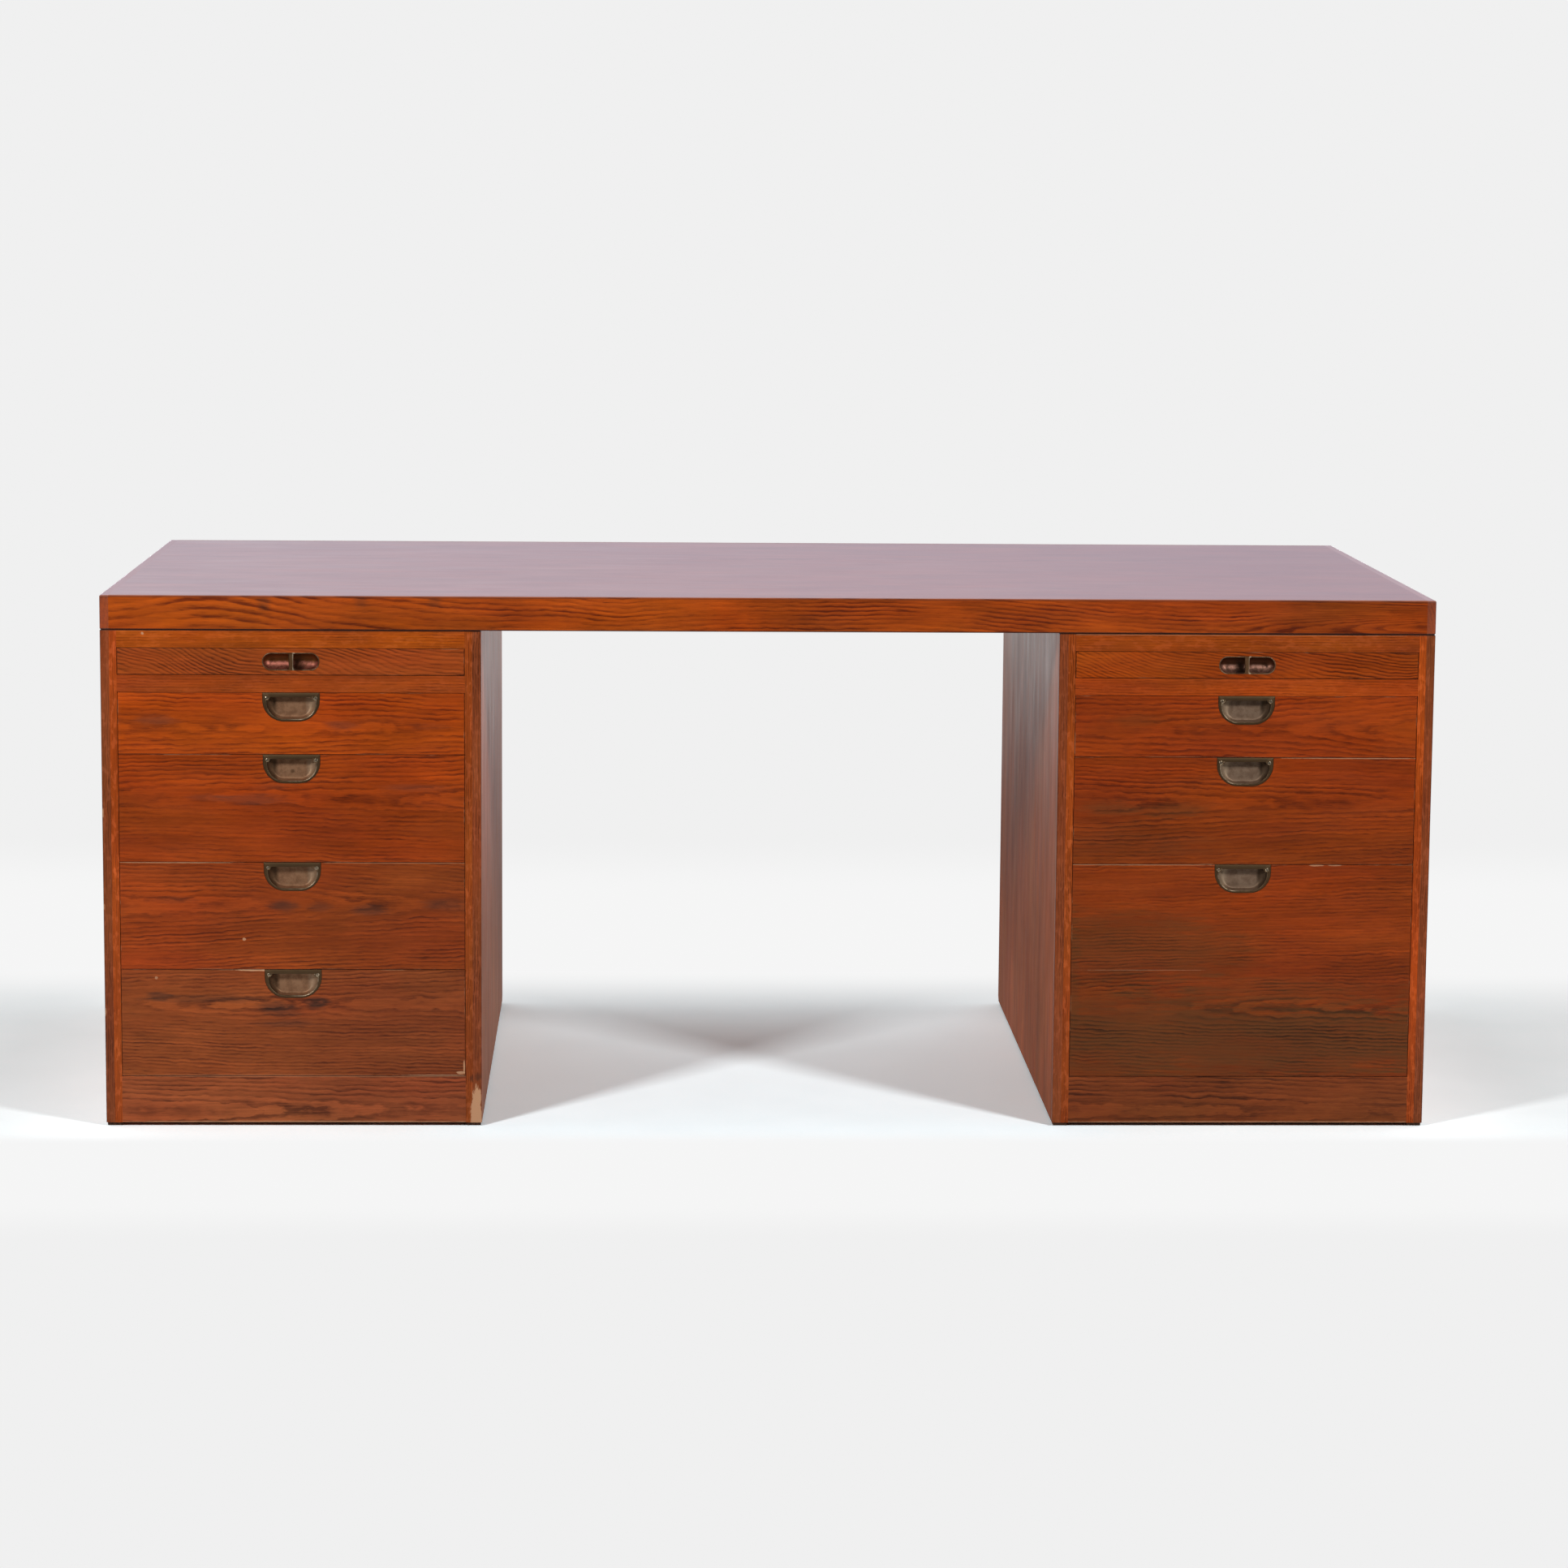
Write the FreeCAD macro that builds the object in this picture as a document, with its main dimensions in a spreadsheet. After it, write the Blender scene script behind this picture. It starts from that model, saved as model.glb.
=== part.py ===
import FreeCAD, Part
import math
import os
import types

import Sketcher

# Double-pedestal writing desk. Millimetres, +Z up, +X to the sitter's right, +Y away from the sitter.
# The origin is on the floor under the middle of the desktop.

driving_sizes = [
    # whole desk
    ("desk_width", 1800.0),
    ("desk_depth", 900.0),
    ("desktop_thickness", 46.0),
    ("lipping", 12.0),
    ("edge_round", 2.0),
    # pedestal cases
    ("pedestal_width", 510.0),
    ("side_thickness", 22.0),
    ("outer_strip_width", 12.0),
    ("strip_depth", 12.0),
    ("case_top_thickness", 24.0),
    ("leaf_row_height", 37.0),
    ("divider_thickness", 23.0),
    ("rail_height", 64.4),
    ("rail_thickness", 20.0),
    ("rail_arris", 1.0),
    ("case_bottom_thickness", 16.0),
    ("back_thickness", 12.0),
    ("heel_bevel", 9.0),
    ("foot_height", 5.0),
    ("foot_width", 19.0),
    ("foot_setback", 4.0),
    ("foot_round", 1.5),
    # gaps
    ("front_gap", 0.6),
    ("sliding_gap", 0.3),
    ("stop_gap", 0.5),
    ("fit_gap", 0.15),
    ("screw_fit", 0.05),
    ("cut_overrun", 5.0),
    # drawers
    ("shallow_front_height", 83.4),
    ("middle_front_height", 146.4),
    ("front_thickness", 20.0),
    ("front_arris", 0.6),
    ("dovetail_length", 12.0),
    ("drawer_side_thickness", 13.0),
    ("drawer_back_thickness", 12.0),
    ("drawer_bottom_thickness", 5.0),
    ("drawer_length", 660.0),
    ("box_rise", 6.0),
    ("box_drop", 12.0),
    ("bottom_rise", 8.0),
    ("bottom_groove_depth", 6.0),
    # runners
    ("runner_height", 16.0),
    ("runner_length", 620.0),
    ("runner_groove_depth", 8.0),
    ("runner_slack", 1.0),
    # screws
    ("screw_radius", 2.0),
    ("screw_head_radius", 3.8),
    ("screw_head_height", 3.0),
    ("screw_bite", 12.0),
    ("top_screw_bite", 28.0),
    ("top_screw_inset", 60.0),
    # pull-out leaves
    ("leaf_length", 640.0),
    ("leaf_front_depth", 24.0),
    ("leaf_front_arris", 1.0),
    ("leaf_board_thickness", 19.0),
    ("kicker_width", 40.0),
    ("kicker_length", 610.0),
    # half-round pulls of the drawers
    ("pull_width", 77.0),
    ("pull_height", 39.0),
    ("pull_corner", 29.0),
    ("plate_thickness", 1.6),
    ("bead_height", 0.5),
    ("bead_width", 1.3),
    ("dish_half_width", 33.0),
    ("dish_bottom", 3.5),
    ("dish_top", 33.0),
    ("dish_corner", 22.0),
    ("dish_notch", 4.5),
    ("dish_depth", 11.0),
    ("dish_wall", 1.2),
    ("dish_floor_inset", 9.0),
    ("dish_floor_rise", 4.0),
    ("dish_floor_corner", 13.0),
    ("dish_floor_notch", 2.0),
    ("grip_half_width", 22.0),
    ("grip_height", 2.5),
    ("grip_depth", 8.0),
    ("pull_screw_radius", 1.4),
    ("pull_screw_head_radius", 2.3),
    ("pull_screw_length", 9.0),
    ("pull_screw_drop", 7.3),
    # oblong pulls of the leaves
    ("oblong_width", 77.0),
    ("oblong_height", 24.0),
    ("oblong_wall", 1.2),
    ("oblong_depth", 14.0),
    ("oblong_round", 4.0),
    ("grip_bar_radius", 3.0),
    ("grip_bar_setback", 0.6),
]

# dovetails and screws are spread over the piece that carries them
tail_wide_share = 0.36
tail_narrow_share = 0.28
runner_screw_shares = (0.12, 0.82)

middle_row_count = 3

# how far apart two places may be and still count as one, in millimetres
same_place = 1e-4

doc = FreeCAD.newDocument("Desk")


class Length:
    # a length with the sheet expression that gives it, so that sums of lengths stay bound to the sheet

    def __init__(self, text, number):
        self.text = text
        self.number = number

    def joined(self, sign, other, number):
        return Length("(%s %s %s)" % (self.text, sign, text_of(other)), number)

    def __add__(self, other):
        return self.joined("+", other, self.number + number_of(other))

    def __sub__(self, other):
        return self.joined("-", other, self.number - number_of(other))

    def __mul__(self, factor):
        return self.joined("*", factor, self.number * factor)

    def __truediv__(self, factor):
        return self.joined("/", factor, self.number / factor)


def text_of(value):
    return value.text if isinstance(value, Length) else repr(value)


def number_of(value):
    return value.number if isinstance(value, Length) else value


def written_sheet():
    sheet = doc.addObject("Spreadsheet::Sheet", "Sizes")
    named = {}
    for row, (alias, value) in enumerate(driving_sizes, start=1):
        cell = "B%d" % row
        sheet.set("A%d" % row, alias)
        sheet.set(cell, str(value))
        sheet.setAlias(cell, alias)
        named[alias] = Length("Sizes." + alias, value)
    doc.recompute()
    return types.SimpleNamespace(**named)


size = written_sheet()
zero = Length("0", 0.0)


def bind(piece, property_name, length):
    piece.setExpression(property_name, length.text)


def place(piece, corner):
    for axis, length in zip("xyz", corner):
        bind(piece, "Placement.Base." + axis, length)


def new_body(name, corner):
    body = doc.addObject("PartDesign::Body", name)
    body.Label = name
    place(body, corner)
    return body


def new_sketch(body, name, role, offset=None):
    sketch = body.newObject("Sketcher::SketchObject", name)
    plane = next(f for f in body.Origin.OriginFeatures if f.Role == role)
    sketch.AttachmentSupport = (plane, [""])
    sketch.MapMode = "FlatFace"
    if offset is not None:
        bind(sketch, "AttachmentOffset.Base.z", offset)
    return sketch


def hold_point(sketch, geometry, end, point):
    for kind, length in zip(("DistanceX", "DistanceY"), point):
        index = sketch.addConstraint(Sketcher.Constraint(kind, -1, 1, geometry, end, length.number))
        bind(sketch, "Constraints[%d]" % index, length)


def arc_between(start, end, centre, hollow):
    # a hollow corner runs the other way round its centre
    middle = FreeCAD.Vector(centre[0].number, centre[1].number, 0)
    first, last = (end, start) if hollow else (start, end)
    angles = [math.atan2(p[1].number - middle.y, p[0].number - middle.x) for p in (first, last)]
    radius = math.hypot(start[0].number - middle.x, start[1].number - middle.y)
    return Part.ArcOfCircle(Part.Circle(middle, FreeCAD.Vector(0, 0, 1), radius), *angles)


def draw_outline(sketch, corners, arcs=None):
    # corners run anticlockwise; arcs gives (radius, centre, hollow) by the corner that the arc starts from
    arcs = arcs or {}
    ends = []
    for number, start in enumerate(corners):
        end = corners[(number + 1) % len(corners)]
        if number in arcs:
            radius, centre, hollow = arcs[number]
            geometry = sketch.addGeometry(arc_between(start, end, centre, hollow), False)
            index = sketch.addConstraint(Sketcher.Constraint("Radius", geometry, radius.number))
            bind(sketch, "Constraints[%d]" % index, radius)
            ends.append((geometry, 2, 1) if hollow else (geometry, 1, 2))
        else:
            points = [FreeCAD.Vector(p[0].number, p[1].number, 0) for p in (start, end)]
            geometry = sketch.addGeometry(Part.LineSegment(*points), False)
            ends.append((geometry, 1, 2))
    for number, (geometry, first, last) in enumerate(ends):
        before, _, before_last = ends[number - 1]
        sketch.addConstraint(Sketcher.Constraint("Coincident", before, before_last, geometry, first))
        hold_point(sketch, geometry, first, corners[number])


def draw_rectangle(sketch, low, high):
    draw_outline(sketch, [low, (high[0], low[1]), high, (low[0], high[1])])


def draw_circles(sketch, centres, radius):
    for centre in centres:
        middle = FreeCAD.Vector(centre[0].number, centre[1].number, 0)
        circle = Part.Circle(middle, FreeCAD.Vector(0, 0, 1), radius.number)
        geometry = sketch.addGeometry(circle, False)
        index = sketch.addConstraint(Sketcher.Constraint("Radius", geometry, radius.number))
        bind(sketch, "Constraints[%d]" % index, radius)
        hold_point(sketch, geometry, 3, centre)


cuts_to_compare = []


def pad(body, sketch, length, backwards=False):
    feature = body.newObject("PartDesign::Pad", sketch.Name + "_pad")
    feature.Profile = sketch
    feature.Reversed = backwards
    bind(feature, "Length", length)
    return feature


def pocket(body, sketch, length, backwards=False):
    before = body.Tip
    feature = body.newObject("PartDesign::Pocket", sketch.Name + "_cut")
    feature.Profile = sketch
    feature.Reversed = backwards
    bind(feature, "Length", length)
    cuts_to_compare.append((before, feature))
    return feature


def cut_rectangle(body, name, role, offset, low, high, depth, backwards=False):
    sketch = new_sketch(body, name, role, offset)
    draw_rectangle(sketch, low, high)
    return pocket(body, sketch, depth, backwards)


def drill(body, name, role, offset, centres, radius, depth, backwards=False):
    sketch = new_sketch(body, name, role, offset)
    draw_circles(sketch, centres, radius)
    return pocket(body, sketch, depth, backwards)


def on_side(box, point, side):
    reach = {
        "left": point.x - box.XMin,
        "right": box.XMax - point.x,
        "front": point.y - box.YMin,
        "back": box.YMax - point.y,
        "bottom": point.z - box.ZMin,
        "top": box.ZMax - point.z,
    }
    return abs(reach[side]) < same_place


def round_edges(body, radius, pairs):
    # rounds the straight edges where the two named sides of the piece meet
    doc.recompute()
    base = body.Tip
    box = base.Shape.BoundBox
    names = []
    for number, edge in enumerate(base.Shape.Edges, start=1):
        middle = edge.CenterOfMass
        if any(on_side(box, middle, a) and on_side(box, middle, b) for a, b in pairs):
            names.append("Edge%d" % number)
    feature = body.newObject("PartDesign::Fillet", body.Name + "_round")
    feature.Base = (base, names)
    bind(feature, "Radius", radius)
    return feature


def box_piece(name, corner, extent):
    piece = doc.addObject("Part::Box", name)
    piece.Label = name
    for property_name, length in zip(("Length", "Width", "Height"), extent):
        bind(piece, property_name, length)
    place(piece, corner)
    return piece


def block(name, corner, extent):
    # a board as a body, for pieces that are then rounded, grooved or drilled
    body = new_body(name, corner)
    sketch = new_sketch(body, name + "_outline", "XY_Plane")
    draw_rectangle(sketch, (zero, zero), (extent[0], extent[1]))
    pad(body, sketch, extent[2])
    return body


def rounded_block(name, corner, extent, radius, pairs):
    body = block(name, corner, extent)
    round_edges(body, radius, pairs)
    return body


def group(name, pieces):
    piece = doc.addObject("Part::Compound", name)
    piece.Label = name
    piece.Links = pieces
    return piece


def cut(name, base, tool):
    piece = doc.addObject("Part::Cut", name)
    piece.Label = name
    piece.Base = base
    piece.Tool = tool
    return piece


turned_to = {
    "x": FreeCAD.Rotation(FreeCAD.Vector(0, 1, 0), 90),
    "y": FreeCAD.Rotation(FreeCAD.Vector(1, 0, 0), -90),
    "z": FreeCAD.Rotation(),
}


def rod(name, start, axis, radius, length):
    piece = doc.addObject("Part::Cylinder", name)
    piece.Placement = FreeCAD.Placement(FreeCAD.Vector(), turned_to[axis])
    bind(piece, "Radius", radius)
    bind(piece, "Height", length)
    place(piece, start)
    return piece


def moved(point, axis, length):
    return tuple(value + length if name == axis else value for name, value in zip("xyz", point))


def screw(name, start, axis, head, shank, head_first):
    # a cheese-headed screw along an axis: head and shank are (radius, length), start is its lower end
    first, second = (head, shank) if head_first else (shank, head)
    fused = doc.addObject("Part::Fuse", name)
    fused.Base = rod(name + "_a", start, axis, *first)
    fused.Tool = rod(name + "_b", moved(start, axis, first[1]), axis, *second)
    return fused


# levels, from the floor up
rail_top = size.foot_height + size.rail_height
row_pitch = size.middle_front_height + size.front_gap
shallow_low = rail_top + size.front_gap + row_pitch * middle_row_count
divider_low = shallow_low + size.shallow_front_height + size.front_gap
divider_top = divider_low + size.divider_thickness
case_top_low = divider_top + size.leaf_row_height
case_height = case_top_low + size.case_top_thickness

# places across and along the desk
half_width = size.desk_width / 2
front_y = zero - size.desk_depth / 2
back_y = size.desk_depth / 2
clear_width = size.pedestal_width - size.side_thickness * 2
drawer_width = clear_width - size.front_gap * 2
runner_thickness = size.front_gap + size.runner_groove_depth - size.stop_gap
inner_strip_width = size.side_thickness - size.outer_strip_width
case_x = {"left": zero - half_width, "right": half_width - size.pedestal_width}
sub_parts = []


def add_desktop():
    inner_width = size.desk_width - size.lipping * 2
    inner_depth = size.desk_depth - size.lipping * 2
    inner_x = zero - half_width + size.lipping
    core = block("desktop_core", (inner_x, front_y + size.lipping, case_height),
                 (inner_width, inner_depth, size.desktop_thickness))
    centres = []
    for side in case_x:
        for x, y in top_screw_places(side):
            centres.append((x - inner_x, y - front_y - size.lipping))
    drill(core, "desktop_pilots", "XY_Plane", None, centres, size.screw_radius + size.screw_fit,
          size.top_screw_bite + size.screw_fit, backwards=True)
    sub_parts.append(core)
    long_size = (inner_width, size.lipping, size.desktop_thickness)
    long_lippings = []
    for end, y in (("front", front_y), ("back", back_y - size.lipping)):
        corner = (inner_x, y, case_height)
        pairs = [(end, "top"), (end, "bottom")]
        long_lippings.append(
            rounded_block("desktop_%s_lipping" % end, corner, long_size, size.edge_round, pairs))
    sub_parts.append(group("desktop_long_lippings", long_lippings))
    end_size = (size.lipping, size.desk_depth, size.desktop_thickness)
    end_lippings = []
    for end, x in (("left", zero - half_width), ("right", half_width - size.lipping)):
        pairs = [(end, other) for other in ("top", "bottom", "front", "back")]
        pairs += [(a, b) for a in ("front", "back") for b in ("top", "bottom")]
        corner = (x, front_y, case_height)
        end_lippings.append(
            rounded_block("desktop_%s_lipping" % end, corner, end_size, size.edge_round, pairs))
    sub_parts.append(group("desktop_end_lippings", end_lippings))


def top_screw_places(side):
    near = case_x[side] + size.side_thickness + size.top_screw_inset
    far = case_x[side] + size.pedestal_width - size.side_thickness - size.top_screw_inset
    front = front_y + size.top_screw_inset
    back = back_y - size.top_screw_inset
    return [(x, y) for x in (near, far) for y in (front, back)]


def drawer_rows(side):
    # (name, lower edge of the front, height of the front, dovetails down each corner), from the top
    rows = [("1", shallow_low, size.shallow_front_height, 2)]
    levels = [rail_top + size.front_gap + row_pitch * count for count in (2, 1, 0)]
    if side == "left":
        rows += [(str(number), level, size.middle_front_height, 4)
                 for number, level in enumerate(levels, start=2)]
    else:
        deep_height = size.middle_front_height * 2 + size.front_gap
        rows += [("2", levels[0], size.middle_front_height, 4), ("3", levels[2], deep_height, 8)]
    return rows


def box_height(front_height):
    return front_height - size.box_rise - size.box_drop


def runner_low(front_low, front_height):
    return front_low + size.box_rise + (box_height(front_height) - size.runner_height) / 2


def runner_start():
    return front_y + size.front_thickness + size.stop_gap


def side_panel(name, x, drawers_on_right, side):
    # one side of a case, with its front edge cut back for the two strips and its heel bevelled
    depth = size.desk_depth - size.strip_depth
    height = case_height - size.foot_height
    panel_y = front_y + size.strip_depth
    body = new_body(name, (x, panel_y, size.foot_height))
    sketch = new_sketch(body, name + "_outline", "YZ_Plane")
    draw_outline(sketch, [(zero, zero), (depth - size.heel_bevel, zero), (depth, size.heel_bevel),
                          (depth, height), (zero, height)])
    pad(body, sketch, size.side_thickness)
    outer = "left" if drawers_on_right else "right"
    round_edges(body, size.edge_round, [(outer, "top"), (outer, "back"), ("back", "top")])
    centres = []
    for _, front_low, front_height, _ in drawer_rows(side):
        z = runner_low(front_low, front_height) + size.runner_height / 2 - size.foot_height
        for share in runner_screw_shares:
            centres.append((runner_start() + size.runner_length * share - panel_y, z))
    drill(body, name + "_pilots", "YZ_Plane", size.side_thickness if drawers_on_right else zero, centres,
          size.screw_radius + size.screw_fit, size.screw_bite + size.screw_fit,
          backwards=not drawers_on_right)
    return body


def front_strips(name, x, drawers_on_right):
    height = case_height - size.foot_height
    outer_x = x if drawers_on_right else x + inner_strip_width
    inner_x = x + size.outer_strip_width if drawers_on_right else x
    outer_side = "left" if drawers_on_right else "right"
    outer = rounded_block(name + "_outer_strip", (outer_x, front_y, size.foot_height),
                          (size.outer_strip_width, size.strip_depth, height), size.edge_round,
                          [("front", outer_side), ("front", "top"), (outer_side, "top")])
    inner = rounded_block(name + "_inner_strip", (inner_x, front_y, size.foot_height),
                          (inner_strip_width, size.strip_depth, height), size.edge_round,
                          [("front", "top")])
    return outer, inner


def case_top(side):
    corner = (case_x[side] + size.side_thickness, front_y, case_top_low)
    extent = (clear_width, size.desk_depth, size.case_top_thickness)
    body = rounded_block(side + "_case_top", corner, extent, size.edge_round,
                         [("front", "top"), ("back", "top")])
    centres = [(x - corner[0], y - corner[1]) for x, y in top_screw_places(side)]
    drill(body, side + "_top_holes", "XY_Plane", None, centres, size.screw_radius + size.screw_fit,
          size.case_top_thickness, backwards=True)
    drill(body, side + "_top_sinks", "XY_Plane", None, centres, size.screw_head_radius + size.screw_fit,
          size.screw_head_height, backwards=True)
    return body


def top_screws(side):
    head = (size.screw_head_radius, size.screw_head_height)
    shank = (size.screw_radius, size.case_top_thickness - size.screw_head_height + size.top_screw_bite)
    return [screw("%s_top_screw_%d" % (side, number), (x, y, case_top_low), "z", head, shank, True)
            for number, (x, y) in enumerate(top_screw_places(side), start=1)]


def foot_strip(name, x):
    corner = (x + (size.side_thickness - size.foot_width) / 2, front_y + size.foot_setback, zero)
    length = size.desk_depth - size.heel_bevel - size.foot_setback * 2
    extent = (size.foot_width, length, size.foot_height)
    pairs = [("bottom", end) for end in ("left", "right", "front", "back")]
    return rounded_block(name + "_foot", corner, extent, size.foot_round, pairs)


def runner(name, wall_x, z, on_near_wall):
    # a drawer runner on one wall, with the two screws that hold it
    x = wall_x if on_near_wall else wall_x - runner_thickness
    body = new_body(name, (x, runner_start(), z))
    sketch = new_sketch(body, name + "_outline", "YZ_Plane")
    draw_rectangle(sketch, (zero, zero), (size.runner_length, size.runner_height))
    pad(body, sketch, runner_thickness)
    centres = [(size.runner_length * share, size.runner_height / 2) for share in runner_screw_shares]
    drill(body, name + "_holes", "YZ_Plane", None, centres, size.screw_radius + size.screw_fit,
          runner_thickness, backwards=True)
    drill(body, name + "_sinks", "YZ_Plane", runner_thickness if on_near_wall else zero, centres,
          size.screw_head_radius + size.screw_fit, size.screw_head_height, backwards=not on_near_wall)
    head = (size.screw_head_radius, size.screw_head_height)
    shank = (size.screw_radius, runner_thickness - size.screw_head_height + size.screw_bite)
    start_x = wall_x - size.screw_bite if on_near_wall else x
    screws = []
    for number, (y, height) in enumerate(centres, start=1):
        start = (start_x, runner_start() + y, z + height)
        screws.append(screw("%s_screw_%d" % (name, number), start, "x", head, shank, not on_near_wall))
    return body, screws


def add_cases():
    groups = {name: [] for name in (
        "outer_strips", "inner_strips", "case_tops", "dividers", "case_bottoms", "front_rails",
        "back_panels", "foot_strips", "drawer_runners", "leaf_kickers", "runner_screws", "top_screws")}
    for side, low_x in case_x.items():
        inside_x = low_x + size.side_thickness
        far_x = low_x + size.pedestal_width - size.side_thickness
        walls = (("outer", low_x, True), ("inner", far_x, False))
        if side == "right":
            walls = (("inner", low_x, True), ("outer", far_x, False))
        for wall, x, drawers_on_right in walls:
            name = "%s_case_%s_side" % (side, wall)
            sub_parts.append(side_panel(name, x, drawers_on_right, side))
            outer, inner = front_strips(name, x, drawers_on_right)
            groups["outer_strips"].append(outer)
            groups["inner_strips"].append(inner)
            groups["foot_strips"].append(foot_strip(name, x))
        groups["case_tops"].append(case_top(side))
        groups["top_screws"] += top_screws(side)
        inner_depth = size.desk_depth - size.back_thickness
        groups["dividers"].append(box_piece(side + "_divider", (inside_x, front_y, divider_low),
                                            (clear_width, inner_depth, size.divider_thickness)))
        groups["case_bottoms"].append(box_piece(
            side + "_case_bottom",
            (inside_x, front_y + size.rail_thickness, rail_top - size.case_bottom_thickness),
            (clear_width, inner_depth - size.rail_thickness, size.case_bottom_thickness)))
        groups["front_rails"].append(rounded_block(
            side + "_front_rail", (inside_x, front_y, size.foot_height),
            (clear_width, size.rail_thickness, size.rail_height), size.rail_arris,
            [("front", "bottom")]))
        groups["back_panels"].append(box_piece(
            side + "_back_panel", (inside_x, back_y - size.back_thickness, size.foot_height),
            (clear_width, size.back_thickness, case_top_low - size.foot_height)))
        for row, front_low, front_height, _ in drawer_rows(side):
            z = runner_low(front_low, front_height)
            for wall_x, on_near_wall in ((inside_x, True), (far_x, False)):
                end = "near" if on_near_wall else "far"
                strip, screws = runner("%s_%s_%s_runner" % (side, row, end), wall_x, z, on_near_wall)
                groups["drawer_runners"].append(strip)
                groups["runner_screws"] += screws
        kicker_height = size.leaf_row_height - size.leaf_board_thickness - size.sliding_gap * 2
        for end, x in (("near", inside_x), ("far", far_x - size.kicker_width)):
            groups["leaf_kickers"].append(box_piece(
                "%s_%s_kicker" % (side, end),
                (x, front_y + size.leaf_front_depth + size.stop_gap, case_top_low - kicker_height),
                (size.kicker_width, size.kicker_length, kicker_height)))
    for name, pieces in groups.items():
        sub_parts.append(group(name, pieces))


def plate_outline(grow, rise):
    # the half-round plate: straight top, short upright sides, round lower corners; rise lifts its top
    width = size.pull_width + grow
    low = zero - grow
    corner = size.pull_corner
    top = size.pull_height + rise
    right = width - corner
    left = corner
    points = [(left, low), (right, low), (width, corner), (width, top), (low, top), (low, corner)]
    arcs = {
        1: (corner + grow, (right, corner), False),
        5: (corner + grow, (left, corner), False),
    }
    return points, arcs


def dish_outline(half, low, top, corner, notch):
    # a half-round opening whose upper corners are notched round the screws
    middle = size.pull_width / 2
    right = middle + half
    left = middle - half
    points = [
        (left + corner, low), (right - corner, low), (right, low + corner), (right, top - notch),
        (right - notch, top), (left + notch, top), (left, top - notch), (left, low + corner),
    ]
    arcs = {
        1: (corner, (right - corner, low + corner), False),
        3: (notch, (right, top), True),
        5: (notch, (left, top), True),
        7: (corner, (left + corner, low + corner), False),
    }
    return points, arcs


def grown_dish(grow):
    # the dish with its wall: the notches round the screws shrink as much as the sides grow
    middle = size.pull_width / 2
    right = middle + size.dish_half_width
    left = middle - size.dish_half_width
    wide_right = right + grow
    wide_left = left - grow
    low = size.dish_bottom - grow
    top = size.dish_top + grow
    bend = size.dish_bottom + size.dish_corner
    notch = size.dish_notch - grow
    shoulder = size.dish_top - notch
    inner_right = right - notch
    inner_left = left + notch
    round_right = right - size.dish_corner
    round_left = left + size.dish_corner
    points = [
        (round_left, low), (round_right, low), (wide_right, bend), (wide_right, shoulder),
        (right, shoulder), (inner_right, size.dish_top), (inner_right, top), (inner_left, top),
        (inner_left, size.dish_top), (left, shoulder), (wide_left, shoulder), (wide_left, bend),
    ]
    arcs = {
        1: (size.dish_corner + grow, (round_right, bend), False),
        4: (notch, (right, size.dish_top), True),
        8: (notch, (left, size.dish_top), True),
        11: (size.dish_corner + grow, (round_left, bend), False),
    }
    return points, arcs


def grip_corners(grow):
    # the space behind the top of the plate, where the fingertips hook
    middle = size.pull_width / 2
    low = (middle - size.grip_half_width - grow, size.dish_top - size.grip_height)
    high = (middle + size.grip_half_width + grow, size.dish_top + size.grip_height + grow)
    return low, high


def pull_screw_places():
    middle = size.pull_width / 2
    height = size.pull_height - size.pull_screw_drop
    return [(middle - size.dish_half_width, height), (middle + size.dish_half_width, height)]


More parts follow.
